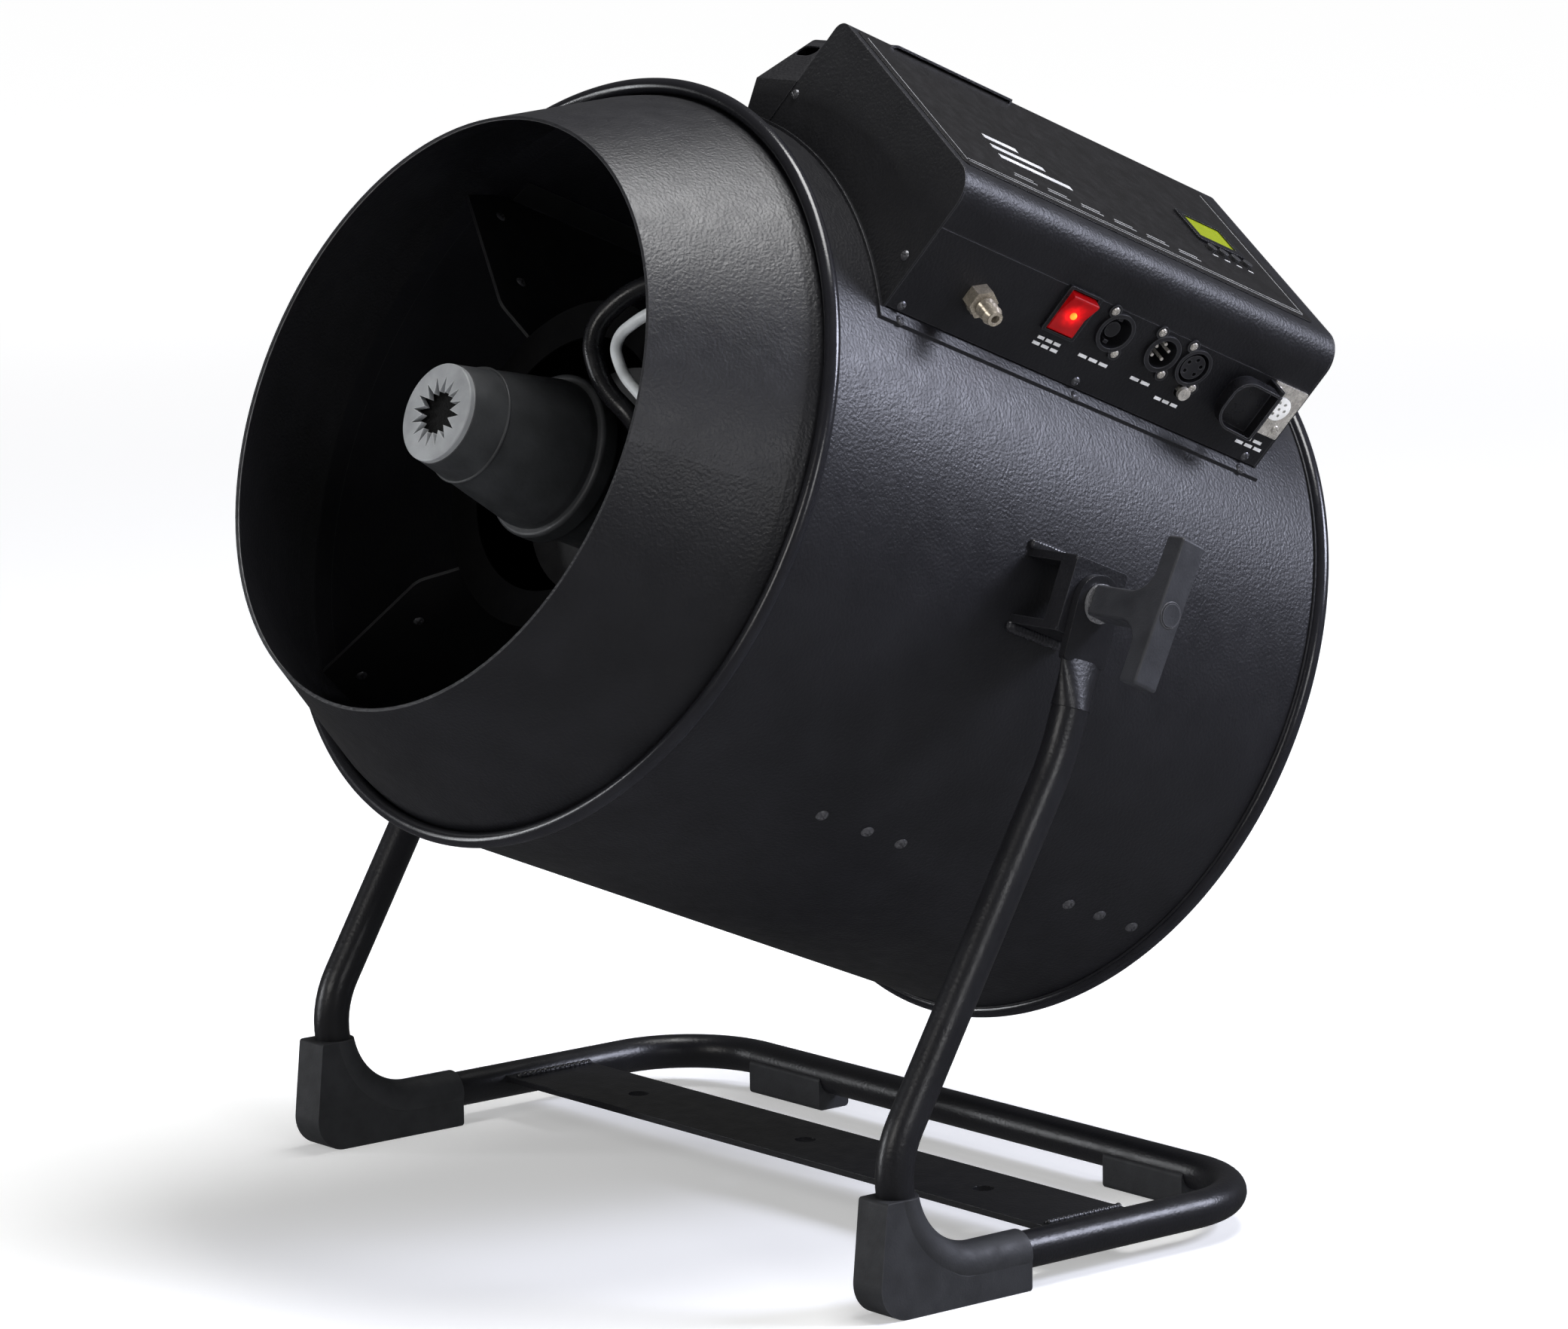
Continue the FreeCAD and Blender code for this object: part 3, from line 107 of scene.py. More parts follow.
# ---- materials ----------------------------------------------------------------------------------
def new_material(name, base, roughness, metallic=0.0):
    material = bpy.data.materials.new(name)
    material.use_nodes = True
    shader = material.node_tree.nodes["Principled BSDF"]
    shader.inputs["Base Color"].default_value = (*base, 1)
    shader.inputs["Roughness"].default_value = roughness
    shader.inputs["Metallic"].default_value = metallic
    return material, material.node_tree, shader


def add_node(tree, kind, **values):
    node = tree.nodes.new(kind)
    for key, value in values.items():
        if key in node.inputs:
            node.inputs[key].default_value = value
        else:
            setattr(node, key.lower().replace(" ", "_"), value)
    return node


def object_space(tree):
    return tree.nodes.new("ShaderNodeTexCoord").outputs["Object"]


def noise(tree, scale, detail=2.0, roughness=0.5):
    node = add_node(tree, "ShaderNodeTexNoise", Scale=scale, Detail=detail, Roughness=roughness)
    tree.links.new(object_space(tree), node.inputs["Vector"])
    return node.outputs["Fac"]


def ramp(tree, value, low, high, dark, light):
    """Colour that goes from dark to light as the value goes from low to high."""
    node = tree.nodes.new("ShaderNodeValToRGB")
    node.color_ramp.elements[0].position = low
    node.color_ramp.elements[0].color = (*dark, 1)
    node.color_ramp.elements[1].position = high
    node.color_ramp.elements[1].color = (*light, 1)
    tree.links.new(value, node.inputs["Fac"])
    return node.outputs["Color"]


def spread(tree, value, low, high):
    node = add_node(tree, "ShaderNodeMapRange")
    node.inputs["From Min"].default_value = 0.3
    node.inputs["From Max"].default_value = 0.7
    node.inputs["To Min"].default_value = low
    node.inputs["To Max"].default_value = high
    tree.links.new(value, node.inputs["Value"])
    return node.outputs["Result"]


def bumped(tree, shader, height, depth, rounding=0.0):
    bump = add_node(tree, "ShaderNodeBump", Strength=1.0, Distance=depth)
    tree.links.new(height, bump.inputs["Height"])
    if rounding:
        bevel = add_node(tree, "ShaderNodeBevel", Radius=rounding)
        tree.links.new(bevel.outputs["Normal"], bump.inputs["Normal"])
    tree.links.new(bump.outputs["Normal"], shader.inputs["Normal"])


def painted_edge_highlight(tree, radius, colour, highlight_colour):
    """Mixes a paler colour in where the surface turns a corner: a painted highlight along the edges."""
    bevel = add_node(tree, "ShaderNodeBevel", Radius=radius)
    geometry = tree.nodes.new("ShaderNodeNewGeometry")
    match = add_node(tree, "ShaderNodeVectorMath", operation="DOT_PRODUCT")
    tree.links.new(bevel.outputs["Normal"], match.inputs[0])
    tree.links.new(geometry.outputs["Normal"], match.inputs[1])
    highlight_band = ramp(tree, match.outputs["Value"], 0.80, 0.97, (1, 1, 1), (0, 0, 0))
    mix = add_node(tree, "ShaderNodeMix", data_type="RGBA")
    tree.links.new(highlight_band, mix.inputs["Factor"])
    tree.links.new(colour, mix.inputs["A"])
    mix.inputs["B"].default_value = (*highlight_colour, 1)
    return mix.outputs["Result"]


def powder_coat(name, base, roughness, grain, depth, edge_highlight=None):
    """Textured powder coat: pebbled bump, slow mottling, paler rounded edges that are a painted highlight."""
    material, tree, shader = new_material(name, base, roughness)
    lighter = [c * 1.12 for c in base]
    darker = [c * 0.90 for c in base]
    colour = ramp(tree, noise(tree, 26.0, 3.0), 0.35, 0.68, darker, lighter)
    # A given edge colour is painted in as a highlight along the rounded edges.
    if edge_highlight:
        colour = painted_edge_highlight(tree, 0.0009, colour, edge_highlight)
    tree.links.new(colour, shader.inputs["Base Color"])
    tree.links.new(spread(tree, noise(tree, 90.0), roughness - 0.03, roughness + 0.04),
                   shader.inputs["Roughness"])
    bumped(tree, shader, noise(tree, grain, 2.0, 0.45), depth, rounding=0.0006)
    return material


def duct_painted_shade():
    """Dead matt near-black inside the duct, darker than the paint elsewhere: painted shade, so that it reads as a
    dark hole.
    """
    material = powder_coat("duct_painted_shade", (0.0022, 0.0022, 0.0025), 0.85, 500.0, 0.00012)
    material.node_tree.nodes["Principled BSDF"].inputs["Specular IOR Level"].default_value = 0.08
    return material


def moulded(name, base, roughness, grain=900.0, depth=0.00008, edge_highlight=None):
    """Moulded plastic or rubber: fine spark texture and slight shade variation."""
    material, tree, shader = new_material(name, base, roughness)
    darker = [c * 0.82 for c in base]
    lighter = [c * 1.22 for c in base]
    colour = ramp(tree, noise(tree, 60.0, 4.0), 0.3, 0.7, darker, lighter)
    # A given edge colour is painted in as a highlight along the rounded edges.
    if edge_highlight:
        colour = painted_edge_highlight(tree, 0.0012, colour, edge_highlight)
    tree.links.new(colour, shader.inputs["Base Color"])
    tree.links.new(spread(tree, noise(tree, 140.0, 3.0), roughness - 0.07, roughness + 0.07),
                   shader.inputs["Roughness"])
    bumped(tree, shader, noise(tree, grain, 2.0), depth, rounding=0.0005)
    return material


def plated(name, base, roughness):
    """Plated or bright metal with fine scratches and cloudy gloss."""
    material, tree, shader = new_material(name, base, roughness, 0.55)
    darker = [c * 0.7 for c in base]
    lighter = [min(c * 1.15, 1) for c in base]
    colour = ramp(tree, noise(tree, 220.0, 5.0), 0.3, 0.7, darker, lighter)
    tree.links.new(colour, shader.inputs["Base Color"])
    tree.links.new(spread(tree, noise(tree, 350.0, 6.0, 0.7), roughness - 0.08, roughness + 0.14),
                   shader.inputs["Roughness"])
    bumped(tree, shader, noise(tree, 700.0, 4.0, 0.7), 0.00004, rounding=0.0004)
    return material


def lit(name, base, glow, strength, lamp=None, lamp_strength=0.0):
    """Lit translucent part whose glow is uneven behind a moulded face and strongest near its lamp."""
    material, tree, shader = new_material(name, base, 0.28)
    shader.inputs["Specular IOR Level"].default_value = 0.25
    colour = ramp(tree, noise(tree, 240.0, 2.0), 0.3, 0.75, [c * 0.55 for c in glow], glow)
    tree.links.new(colour, shader.inputs["Emission Color"])
    shader.inputs["Emission Strength"].default_value = strength
    if lamp:
        away = add_node(tree, "ShaderNodeVectorMath", operation="DISTANCE")
        tree.links.new(object_space(tree), away.inputs[0])
        away.inputs[1].default_value = lamp
        falloff = tree.nodes.new("ShaderNodeMapRange")
        falloff.interpolation_type = "SMOOTHERSTEP"
        falloff.inputs["From Max"].default_value = LAMP_REACH
        falloff.inputs["To Min"].default_value = lamp_strength
        falloff.inputs["To Max"].default_value = strength
        tree.links.new(away.outputs["Value"], falloff.inputs["Value"])
        tree.links.new(falloff.outputs["Result"], shader.inputs["Emission Strength"])
    tree.links.new(ramp(tree, noise(tree, 90.0), 0.3, 0.7, [c * 0.7 for c in base], base),
                   shader.inputs["Base Color"])
    bumped(tree, shader, noise(tree, 600.0), 0.00003, rounding=0.0006)
    return material


def screen_material():
    """Backlit character display: rows of faint cells over a yellow-green ground."""
    material, tree, shader = new_material("screen", (0.05, 0.06, 0.004), 0.16)
    cells = add_node(tree, "ShaderNodeTexBrick", Scale=260.0, offset=0.0)
    cells.inputs["Color1"].default_value = (0.30, 0.37, 0.012, 1)
    cells.inputs["Color2"].default_value = (0.26, 0.33, 0.010, 1)
    cells.inputs["Mortar"].default_value = (0.38, 0.46, 0.020, 1)
    cells.inputs["Mortar Size"].default_value = 0.03
    tree.links.new(object_space(tree), cells.inputs["Vector"])
    tree.links.new(cells.outputs["Color"], shader.inputs["Emission Color"])
    tree.links.new(ramp(tree, noise(tree, 150.0), 0.3, 0.7, (0.05, 0.06, 0.004), (0.07, 0.08, 0.006)),
                   shader.inputs["Base Color"])
    shader.inputs["Emission Strength"].default_value = 0.95
    return material


def mesh_fabric():
    """Knitted mesh: small dark holes in a grey web."""
    material, tree, shader = new_material("mesh_fabric", (0.004, 0.004, 0.0042), 0.95)
    holes = add_node(tree, "ShaderNodeTexVoronoi", Scale=700.0)
    tree.links.new(object_space(tree), holes.inputs["Vector"])
    colour = ramp(tree, holes.outputs["Distance"], 0.2, 0.6, (0.0008, 0.0008, 0.0008), (0.004, 0.004, 0.0042))
    tree.links.new(colour, shader.inputs["Base Color"])
    bumped(tree, shader, holes.outputs["Distance"], 0.0004)
    return material


def make_materials():
    rocker_lamp = middle_of("power_rocker") + BOX_OUT * 0.004
    # Where a paint or plastic is given a second, paler colour, that colour is a painted highlight along its edges.
    return {
        "stand_paint": powder_coat("stand_paint", (0.010, 0.010, 0.012), 0.34, 520.0, 0.00016),
        "drum_paint": powder_coat("drum_paint", (0.011, 0.011, 0.0135), 0.40, 520.0, 0.00034,
                                  (0.045, 0.045, 0.050)),
        "box_paint": powder_coat("box_paint", (0.009, 0.009, 0.011), 0.44, 520.0, 0.00036,
                                 (0.05, 0.05, 0.055)),
        # Paler than the drum's black, to lighten the inside of the mouth: painted light.
        "inner_paint": powder_coat("inner_paint", (0.014, 0.014, 0.015), 0.42, 600.0, 0.00014,
                                   (0.06, 0.06, 0.066)),
        "boot_rubber": moulded("boot_rubber", (0.022, 0.023, 0.026), 0.62, 700.0, 0.00012,
                               (0.05, 0.05, 0.055)),
        "nozzle_face": moulded("nozzle_face", (0.30, 0.31, 0.32), 0.50, 420.0, 0.00012,
                               (0.50, 0.51, 0.52)),
        "nozzle_plastic": moulded("nozzle_plastic", (0.040, 0.042, 0.045), 0.46, 360.0, 0.00016,
                                  (0.10, 0.10, 0.105)),
        "mesh_fabric": mesh_fabric(),
        "blower_plastic": moulded("blower_plastic", (0.018, 0.018, 0.020), 0.5),
        "hose_rubber": moulded("hose_rubber", (0.012, 0.012, 0.014), 0.28),
        "hose_clear": moulded("hose_clear", (0.86, 0.90, 0.92), 0.20),
        "motor_metal": powder_coat("motor_metal", (0.05, 0.05, 0.054), 0.5, 500.0, 0.0002,
                                   (0.16, 0.16, 0.17)),
        "bright_steel": plated("bright_steel", (0.30, 0.30, 0.31), 0.26),
        "fan_blades": moulded("fan_blades", (0.020, 0.020, 0.022), 0.42, 800.0, 0.0001,
                              (0.05, 0.05, 0.055)),
        "guard_wire": powder_coat("guard_wire", (0.016, 0.016, 0.018), 0.34, 900.0, 0.00006),
        "black_screws": plated("black_screws", (0.13, 0.13, 0.14), 0.30),
        "label_film": moulded("label_film", (0.009, 0.0085, 0.009), 0.36, 1100.0, 0.00003),
        "bezel_plastic": moulded("bezel_plastic", (0.010, 0.010, 0.012), 0.30, edge_highlight=(0.05, 0.05, 0.055)),
        "display_screen": screen_material(),
        "rocker_red": lit("rocker_red", (0.24, 0.001, 0.003), (1.0, 0.010, 0.012), 0.16,
                          lamp=rocker_lamp, lamp_strength=1.5),
        "socket_plastic": moulded("socket_plastic", (0.012, 0.012, 0.014), 0.34, edge_highlight=(0.06, 0.06, 0.066)),
        "nickel": plated("nickel", (0.62, 0.59, 0.54), 0.24),
        "socket_white": moulded("socket_white", (0.68, 0.68, 0.66), 0.4),
        "lid_plastic": moulded("lid_plastic", (0.011, 0.011, 0.013), 0.30, edge_highlight=(0.09, 0.09, 0.10)),
        "union_metal": plated("union_metal", (0.52, 0.46, 0.37), 0.22),
        "supply_metal": plated("supply_metal", (0.5, 0.5, 0.52), 0.4),
        "pump_plastic": moulded("pump_plastic", (0.05, 0.05, 0.055), 0.5),
        "board": moulded("board", (0.01, 0.09, 0.035), 0.4),
        "handle_plastic": moulded("handle_plastic", (0.030, 0.031, 0.036), 0.46, 620.0, 0.00016,
                                  (0.10, 0.10, 0.11)),
        "button_plastic": moulded("button_plastic", (0.03, 0.03, 0.032), 0.4, edge_highlight=(0.09, 0.09, 0.095)),
        "print_pale": moulded("print_pale", (0.58, 0.58, 0.58), 0.5),
        "print_dim": moulded("print_dim", (0.34, 0.34, 0.34), 0.5),
        # Pale ring along the hood's mouth: a painted highlight.
        "lip_painted_highlight": plated("lip_painted_highlight", (0.42, 0.42, 0.43), 0.32),
        "plug_rim": moulded("plug_rim", (0.05, 0.05, 0.055), 0.40),
        "bead_paint": powder_coat("bead_paint", (0.014, 0.014, 0.017), 0.20, 700.0, 0.00006),
        # Painted shade for the inside of the duct.
        "duct_painted_shade": duct_painted_shade(),
        "weld": powder_coat("weld", (0.02, 0.02, 0.023), 0.28, 260.0, 0.0005, (0.10, 0.10, 0.108)),
        "glow_spot": lit("glow_spot", (0.9, 0.35, 0.02), (1.0, 0.36, 0.05), 1.0),
    }


MATERIALS = make_materials()


def dress_cad_nodes():
    """Every carried-over CAD node gets the procedural material of its slot."""
    for row in frame["record"]["subparts"]:
        node = NODES[row["node"]]
        material = MATERIALS[row["material_slot"]]
        if not node.material_slots:
            node.data.materials.append(material)
        for slot in node.material_slots:
            slot.material = material
    # The inner duct takes the painted shade instead of its slot's paint.
    NODES["inner_duct"].material_slots[0].material = MATERIALS["duct_painted_shade"]


# ---- mesh helpers -------------------------------------------------------------------------------
def piece_from(bm, name, body, material, smooth=True):
    mesh = bpy.data.meshes.new(name)
    bmesh.ops.recalc_face_normals(bm, faces=bm.faces)
    bm.to_mesh(mesh)
    bm.free()
    mesh.materials.append(MATERIALS[material])
    for polygon in mesh.polygons:
        polygon.use_smooth = smooth
    piece = bpy.data.objects.new(name, mesh)
    bpy.context.scene.collection.objects.link(piece)
    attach(piece, body)
    return piece


def add_strip(bm, rings, loop=False):
    """Joins rings of points into one skin; a loop joins the last ring to the first, else the ends close."""
    rows = [[bm.verts.new(p) for p in ring] for ring in rings]
    count = len(rows[0])
    pairs = list(zip(rows, rows[1:]))
    if loop:
        pairs.append((rows[-1], rows[0]))
    for low, high in pairs:
        for i in range(count):
            j = (i + 1) % count
            bm.faces.new((low[i], low[j], high[j], high[i]))
    if not loop:
        bm.faces.new(rows[0][::-1])
        bm.faces.new(rows[-1])


def add_tube(bm, points, radius_at, sides=14):
    """Round tube through the points; radius_at gives the radius for a share of the length."""
    rings = []
    last = len(points) - 1
    for i, point in enumerate(points):
        along = (points[min(i + 1, last)] - points[max(i - 1, 0)]).normalized()
        side = along.orthogonal().normalized()
        up = along.cross(side)
        radius = radius_at(i / last)
        turns = [2 * math.pi * k / sides for k in range(sides)]
        rings.append([point + (side * math.cos(t) + up * math.sin(t)) * radius for t in turns])
    add_strip(bm, rings)


def add_ring(bm, centre, axis, radius, section, steps=256):
    """Ring about an axis; section lists (outward, along) points of its closed profile."""
    side = axis.orthogonal().normalized()
    up = axis.cross(side).normalized()
    rings = []
    for k in range(steps):
        turn = 2 * math.pi * k / steps
        outward = side * math.cos(turn) + up * math.sin(turn)
        rings.append([centre + outward * (radius + a) + axis * b for a, b in section])
    add_strip(bm, rings, loop=True)


def add_slab(bm, corner_points, up, thickness, inset=0.0):
    """Flat plate with a narrow bevel round its upper edge."""
    centre = sum(corner_points, Vector()) / len(corner_points)
    bottom = list(corner_points)
    middle = [p + up * (thickness - inset) for p in corner_points]
    top = [p + (centre - p).normalized() * inset + up * thickness for p in corner_points]
    add_strip(bm, [bottom, middle, top])


def round_section(radius, count=14):
    turns = [2 * math.pi * k / count for k in range(count)]
    return [(radius * math.cos(t), radius * math.sin(t)) for t in turns]


# ---- screws -------------------------------------------------------------------------------------
def islands(node):
    """Groups the vertices of a CAD node by the small solid that they belong to."""
    groups = []
    for vertex in NODES[node].data.vertices:
        for group in groups:
            if (group[0] - vertex.co).length < 0.010:
                group.append(vertex.co.copy())
                break
        else:
            groups.append([vertex.co.copy()])
    return groups


def thin_direction(points, away_from):
    """Direction in which a flat cloud of points is thinnest, pointing outward."""
    centre = sum(points, Vector()) / len(points)
    from_pivot = centre - PIVOT
    radial = (from_pivot - BACK * from_pivot.dot(BACK)).normalized()
    choices = [BOX_OUT, BOX_UP, BACK, radial]
    widths = []
    for direction in choices:
        reach = [(p - centre).dot(direction) for p in points]
        widths.append(max(reach) - min(reach))
    best = choices[widths.index(min(widths))]
    if (centre - away_from).dot(best) < 0:
        best = -best
    return centre, best


def add_screw_head(bm, centre, outward, radius, height, turn):
    """Button head with a cross recess."""
    side = outward.orthogonal().normalized()
    up = outward.cross(side)
    rings = 14
    sides = 40
    slot_half = radius * 0.15
    slot_reach = radius * 0.62
    rows = []
    for i in range(rings + 1):
        share = 1 - i / rings
        r = radius * share
        row = []
        for k in range(sides):
            angle = 2 * math.pi * k / sides
            a = r * math.cos(angle)
            b = r * math.sin(angle)
            rise = height * (1 - share ** 2.4)
            u = a * math.cos(turn) + b * math.sin(turn)
            w = -a * math.sin(turn) + b * math.cos(turn)
            if r < slot_reach and min(abs(u), abs(w)) < slot_half:
                rise -= height * 0.55
            row.append(centre + side * a + up * b + outward * max(rise, 0))
        rows.append(row)
    turns = [2 * math.pi * k / sides for k in range(sides)]
    rows[-1] = [p + (side * math.cos(t) + up * math.sin(t)) * 1e-5 for p, t in zip(rows[-1], turns)]
    base = [p - outward * 0.0004 for p in rows[0]]
    add_strip(bm, [base] + rows)


def make_screws(node, name, radius, height):
    """Detailed heads that stand for a CAD node of plain screw heads."""
    bm = bmesh.new()
    inside = PIVOT if node == "drum_screws" else middle_of(node) - BOX_UP * 0.02
    for index, points in enumerate(islands(node)):
        centre, outward = thin_direction(points, inside)
        floor = centre - outward * max((centre - p).dot(outward) for p in points)
        add_screw_head(bm, floor, outward, radius, height, 0.7 * index)
    piece = piece_from(bm, name, "drum", "black_screws")
    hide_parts(node)
    return piece


def make_connector_screws():
    """Nickel screws in the ears of the three round connectors and in the remote plate."""
    bm = bmesh.new()
    row = sum(extent("rocker_frame", BOX_UP)) / 2
    places = []
    for node in ("power_inlet", "data_in_socket", "data_out_socket"):
        middle = sum(extent(node, BACK)) / 2
        face = extent(node, BOX_OUT)[1] - 0.0008
        places += [(face, middle + dy, row + dz) for dy, dz in EARS]
    middle = sum(extent("remote_plate", BACK)) / 2
    face = extent("remote_plate", BOX_OUT)[1]
    places += [(face, middle + dy, row + dz) for dy, dz in PLATE_EARS]
    for index, place in enumerate(places):
        add_screw_head(bm, box_point(*place), BOX_OUT, 0.0027, 0.0013, 0.5 + 0.9 * index)
    return piece_from(bm, "connector_screws", "drum", "nickel")


def make_plate_screws():
    """Screws through the feet of the radial plates, seen inside the mouth, and on the plates' faces."""
    bm = bmesh.new()
    index = 0
    for turn in (45, 135, 225, 315):
        angle = math.radians(turn)
        outward = ACROSS * math.sin(angle) + DRUM_UP * math.cos(angle)
        sideways = ACROSS * math.cos(angle) - DRUM_UP * math.sin(angle)
        for radius, y in ((0.205, -0.176), (0.150, -0.176), (0.118, -0.150)):
            for side in (-1, 1):
                centre = PIVOT + outward * radius + BACK * y + sideways * (side * 0.0010)
                add_screw_head(bm, centre, sideways * side, 0.0034, 0.0019, 0.6 * index)
                index += 1
    return piece_from(bm, "plate_screws", "drum", "black_screws")


# ---- drum details -------------------------------------------------------------------------------
def make_hood_lip():
    """Pale metal ring on the edge of the hood sheet at its mouth: a painted highlight along the rim."""
    front = extent("front_hood", BACK)[0]
    bm = bmesh.new()
    add_ring(bm, PIVOT + BACK * (front + 0.0013), BACK, MOUTH_R - 0.0006, round_section(0.00102))
    return piece_from(bm, "hood_lip", "drum", "lip_painted_highlight")


def make_bead(name, y, inward):
    """Smooth paint skin over a rolled bead, and the line where the sheet's edge is rolled in."""
    bm = bmesh.new()
    add_ring(bm, PIVOT + BACK * y, BACK, BEAD_CENTRE_R, round_section(BEAD_R + BEAD_SKIN, 28), 360)
    skin = piece_from(bm, name, "drum", "bead_paint")
    bm = bmesh.new()
    add_ring(bm, PIVOT + BACK * (y + inward * 0.0047), BACK, DRUM_R + 0.0006, round_section(0.0009, 10))
    line = piece_from(bm, name + "_line", "drum", "drum_paint")
    return skin, line


def make_welds():
    """Lumpy weld seams where the pivot bracket flanges meet the drum."""
    bm = bmesh.new()
    for side in (-1, 1):
        for z in (-BRACKET_HALF_H, BRACKET_HALF_H):
            reach = math.sqrt(DRUM_R ** 2 - z ** 2) + 0.0012
            for offset in (0.0014, -0.0030):
                height = z + math.copysign(offset, z)
                points = [drum_point(side * reach, -0.023 + 0.0008 * i, height) for i in range(58)]

                def lumps(share):
                    ends = min(1.0, 9 * min(share, 1 - share) + 0.45)
                    return (0.0021 + 0.0008 * abs(math.sin(share * 58))) * ends
                add_tube(bm, points, lumps, 10)
    return piece_from(bm, "bracket_welds", "drum", "weld")


def make_bar_welds():
    """Weld seams where the flat bar meets the stand's rails."""
    low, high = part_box("base_bar")
    bm = bmesh.new()
    for x in (low.x, high.x):
        inward = 0.0095 if x < 0 else -0.0095
        count = 60
        span = high.y - low.y - 0.006
        points = [Vector((x + inward, low.y + 0.003 + span * i / count, high.z + 0.0006))
                  for i in range(count + 1)]

        def lumps(share):
            return 0.0018 + 0.0006 * abs(math.sin(share * 46))
        add_tube(bm, points, lumps, 10)
    return piece_from(bm, "bar_welds", "stand", "weld")


def make_nozzle_cap():
    """Softened front rim and the step where the nozzle's cap ends on the cone."""
    front = extent("nozzle_ring", BACK)[0]
    outer = extent("nozzle_ring", ACROSS)[1]
    bm = bmesh.new()
    add_ring(bm, PIVOT + BACK * (front + 0.0012), BACK, outer - 0.0012, round_section(0.00125, 16), 128)
    rim = piece_from(bm, "nozzle_rim", "drum", "nozzle_face")
    bm = bmesh.new()
    add_ring(bm, PIVOT + BACK * (front + 0.0260), BACK, outer + 0.0049, round_section(0.0011, 12), 160)
    step = piece_from(bm, "nozzle_step", "drum", "nozzle_plastic")
    return rim, step


def make_hose_cover():
    """Side cover with its roof just below the box's corner."""
    mesh = NODES["hose_cover"].data.copy()
    for vertex in mesh.vertices:
        if (vertex.co - PIVOT).dot(DRUM_UP) > HOSE_ROOF_Z:
            vertex.co -= DRUM_UP * HOSE_ROOF_DROP
    cover = bpy.data.objects.new("side_cover", mesh)
    bpy.context.scene.collection.objects.link(cover)
    mesh.materials.clear()
    mesh.materials.append(MATERIALS["box_paint"])
    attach(cover, "drum")
    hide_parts("hose_cover")
    return cover


# ---- control box graphics -----------------------------------------------------------------------
def add_bar(bm, centre, along, across, up, length, width):
    corners = [centre + along * (a * length / 2) + across * (b * width / 2)
               for a, b in ((-1, -1), (1, -1), (1, 1), (-1, 1))]
    add_slab(bm, corners, up, PRINT_RISE, 0.00003)


def make_panel_captions():
    """Plain bars in place of the captions beside the connectors."""
    face = extent("connector_panel", BOX_OUT)[1]
    bm = bmesh.new()
    middle = sum(extent("rocker_frame", BOX_UP)) / 2
    captions = []
    for node, drop, widths in (("rocker_frame", 0.0215, (0.020, 0.022)), ("power_inlet", 0.0215, (0.026,)),
                               ("data_in_socket", 0.0215, (0.018,)), ("data_out_socket", 0.0268, (0.021,)),
                               ("remote_plate", 0.0268, (0.018, 0.024))):
        y = sum(extent(node, BACK)) / 2
        for line, width in enumerate(widths):
            captions.append((y, middle - drop - 0.0042 * line, width))
    for y, z, width in captions:
        count = 3 if width > 0.019 else 2
        part = width / count
        for k in range(count):
            shift = (k - (count - 1) / 2) * part
            add_bar(bm, box_point(face, y + shift, z), BACK, BOX_UP, BOX_OUT, part * 0.78, 0.0021)
    return piece_from(bm, "panel_captions", "drum", "print_pale", smooth=False)


def make_label_graphics():
    """Border lines and plain bars printed on the top film."""
    top = extent("top_label", BOX_UP)[1]
    x0, x1 = extent("top_label", BOX_OUT)
    y0, y1 = extent("top_label", BACK)
    pale = bmesh.new()
    dim = bmesh.new()

    def bar(bm, x, y, length, width, along=BACK, across=BOX_OUT):
        add_bar(bm, box_point(x, y, top), along, across, BOX_UP, length, width)
    for x in (x1 - 0.006, x1 - 0.009):
        bar(dim, x, (y0 + y1) / 2, (y1 - y0) - 0.012, 0.0006)
    for y in (y0 + 0.005, y1 - 0.005):
        bar(dim, (x0 + x1) / 2, y, (x1 - x0) - 0.014, 0.0006, BOX_OUT, BACK)
    for k, length in enumerate((0.060, 0.044, 0.028)):
        bar(pale, x1 - 0.040 - 0.011 * k, y0 + 0.052 + length / 2, length, 0.0048)
    for k in range(6):
        bar(dim, x1 - 0.018, y0 + 0.060 + 0.028 * k, 0.019, 0.0010)
        bar(dim, x1 - 0.021, y0 + 0.060 + 0.028 * k, 0.016, 0.0010)
    beside_buttons = extent("menu_button_1", BOX_OUT)[1] + 0.0035
    for k in range(4):
        y = sum(extent("menu_button_%d" % (k + 1), BACK)) / 2
        bar(pale, beside_buttons, y, 0.0046, 0.0012)
    return [piece_from(pale, "label_bars", "drum", "print_pale", smooth=False),
            piece_from(dim, "label_lines", "drum", "print_dim", smooth=False)]


def make_rocker_spot():
    """Lamp that shows through the switch."""
    face = extent("power_rocker", BOX_OUT)[1]
    y = sum(extent("power_rocker", BACK)) / 2
    z = sum(extent("power_rocker", BOX_UP)) / 2
    bm = bmesh.new()
    centre = box_point(face - 0.0024, y, z)
    add_tube(bm, [centre - BOX_OUT * 0.0008, centre, centre + BOX_OUT * 0.0005, centre + BOX_OUT * 0.0008],
             lambda share: 0.0022 * math.sqrt(max(1 - share ** 4, 0.02)), 20)
    return piece_from(bm, "rocker_lamp", "rocker", "glow_spot")


# ---- handles ------------------------------------------------------------------------------------
def make_handle_details():
    """Shallow groove ring round the plug in each handle's face."""
    pieces = []
    for side, body in ((1, "handle_right"), (-1, "handle_left")):
        node = "t_handle_right" if side > 0 else "t_handle_left"
        low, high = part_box(node)
        face = high.x if side > 0 else low.x
        bm = bmesh.new()
        outward = Vector((side, 0, 0))
        middle = Vector((face - side * 0.0011, PIVOT.y, PIVOT.z))
        add_ring(bm, middle, outward, 0.0074, round_section(0.0007, 8), 64)
        pieces.append(piece_from(bm, "plug_rim_" + body, body, "plug_rim"))
    return pieces


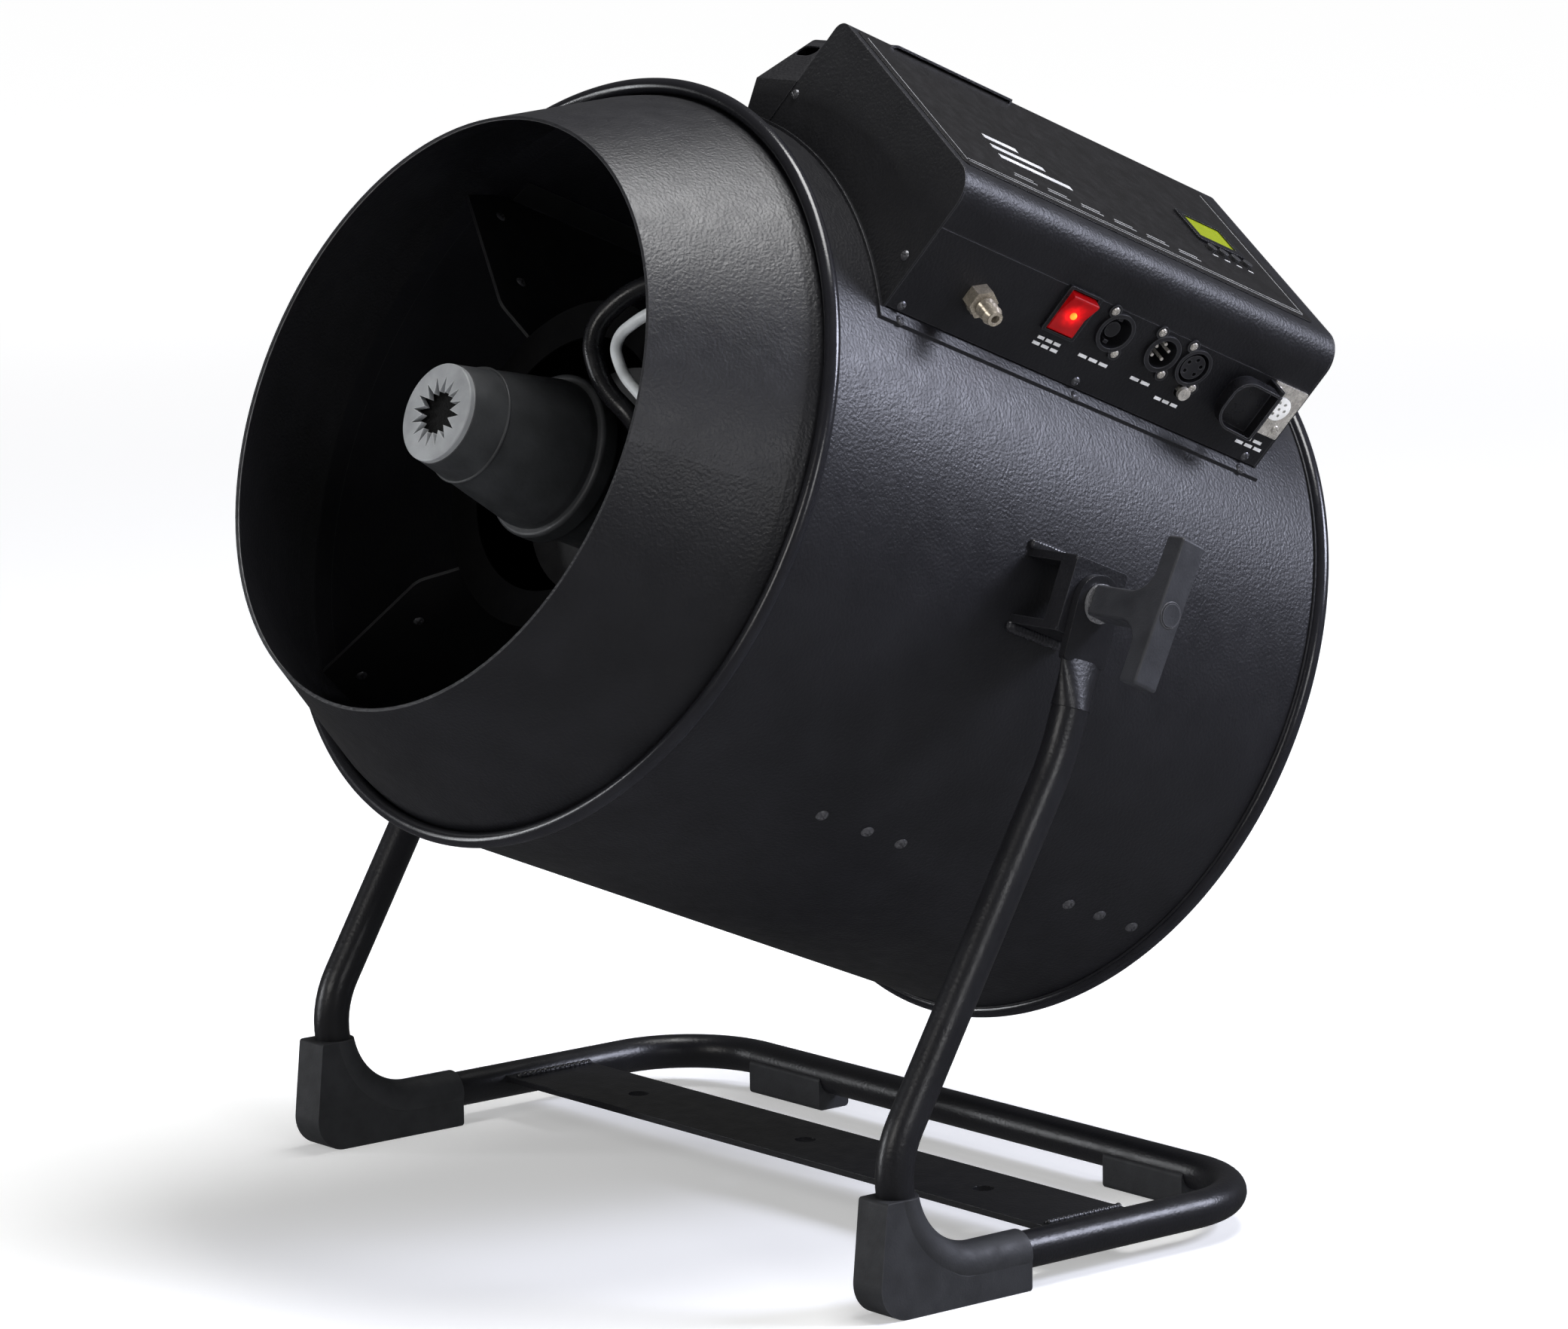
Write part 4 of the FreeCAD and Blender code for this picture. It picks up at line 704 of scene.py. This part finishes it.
# ---- stage, light, camera -----------------------------------------------------------------------
def make_stage():
    """Plain pale floor, evenly white to the horizon; the machine's gloss reflects only the studio."""
    bpy.ops.mesh.primitive_plane_add(size=24, location=(0, 0, 0))
    floor = bpy.context.object
    floor.name = "floor"
    material, tree, shader = new_material("floor", (0.93, 0.93, 0.93), 0.85)
    tree.links.new(ramp(tree, noise(tree, 2.0), 0.3, 0.7, (0.92, 0.92, 0.92), (0.94, 0.94, 0.94)),
                   shader.inputs["Base Color"])
    shader.inputs["Emission Color"].default_value = (1, 1, 1, 1)
    away = add_node(tree, "ShaderNodeVectorMath", operation="LENGTH")
    tree.links.new(object_space(tree), away.inputs[0])
    glow = tree.nodes.new("ShaderNodeMapRange")
    for end, (distance, strength) in (("Min", FLOOR_NEAR), ("Max", FLOOR_FAR)):
        glow.inputs["From " + end].default_value = distance
        glow.inputs["To " + end].default_value = strength
    tree.links.new(away.outputs["Value"], glow.inputs["Value"])
    tree.links.new(glow.outputs["Result"], shader.inputs["Emission Strength"])
    floor.data.materials.append(material)
    floor.visible_glossy = False


def add_softbox(name, place, target, size, power, colour=(1, 1, 1)):
    data = bpy.data.lights.new(name, "AREA")
    data.shape = "RECTANGLE"
    data.size, data.size_y = size
    data.energy = power
    data.color = colour
    light = bpy.data.objects.new(name, data)
    light.location = place
    light.rotation_euler = (Vector(target) - Vector(place)).to_track_quat("-Z", "Y").to_euler()
    light.visible_camera = False
    bpy.context.scene.collection.objects.link(light)


def make_world():
    """White backdrop that lights the machine only dimly, so black paint stays black."""
    world = bpy.data.worlds.new("studio")
    bpy.context.scene.world = world
    world.use_nodes = True
    tree = world.node_tree
    background = tree.nodes["Background"]
    background.inputs["Color"].default_value = (1.0, 1.0, 1.0, 1)
    path = tree.nodes.new("ShaderNodeLightPath")
    strength = add_node(tree, "ShaderNodeMapRange")
    strength.inputs["To Min"].default_value = ROOM_LIGHT
    strength.inputs["To Max"].default_value = BACKDROP
    tree.links.new(path.outputs["Is Camera Ray"], strength.inputs["Value"])
    tree.links.new(strength.outputs["Result"], background.inputs["Strength"])
    bpy.context.scene.view_settings.view_transform = "Standard"


def make_lights():
    middle = (0, 0, 0.38)
    add_softbox("key", (3.2, -0.9, 1.5), middle, (0.9, 0.9), 14)
    add_softbox("rear_right", (2.0, 2.3, 2.0), middle, (1.2, 1.1), 100, (0.80, 0.83, 1.0))
    add_softbox("front", (0.2, -3.2, 1.6), middle, (1.0, 1.0), 15, (1.0, 0.98, 0.95))
    add_softbox("left", (-2.2, -2.3, 0.5), middle, (0.35, 1.4), 22, (0.95, 0.97, 1.0))
    add_softbox("top", (0.2, 0.4, 2.8), middle, (1.5, 1.1), 60)


def make_camera():
    """Camera at the photograph's angle, aimed a little beside and below the tilt axis."""
    right = Vector((math.cos(AZIMUTH), math.sin(AZIMUTH), 0))
    up = Vector((-math.sin(AZIMUTH) * math.sin(ELEVATION), math.cos(AZIMUTH) * math.sin(ELEVATION),
                 math.cos(ELEVATION)))
    back = right.cross(up)
    rolled_right = right * math.cos(ROLL) + up * math.sin(ROLL)
    rolled_up = up * math.cos(ROLL) - right * math.sin(ROLL)
    place = PIVOT + back * DISTANCE - rolled_right * ASIDE - rolled_up * BELOW
    data = bpy.data.cameras.new("camera")
    data.lens = LENS
    data.sensor_width = SENSOR_WIDTH
    camera = bpy.data.objects.new("camera", data)
    basis = Matrix((rolled_right, rolled_up, back)).transposed().to_4x4()
    camera.matrix_world = Matrix.Translation(place) @ basis
    bpy.context.scene.collection.objects.link(camera)
    bpy.context.scene.camera = camera


make_camera()
make_stage()
make_world()
make_lights()
dress_cad_nodes()
make_screws("drum_screws", "drum_screw_heads", 0.0040, 0.0021)
make_screws("box_screws", "box_screw_heads", 0.0032, 0.0020)
make_connector_screws()
make_plate_screws()
make_hood_lip()
make_bead("front_bead", extent("drum_shell", BACK)[0] + BEAD_R, 1)
make_bead("rear_bead", extent("drum_shell", BACK)[1] - BEAD_R, -1)
make_welds()
make_bar_welds()
make_panel_captions()
make_label_graphics()
make_rocker_spot()
make_handle_details()
make_nozzle_cap()
make_hose_cover()
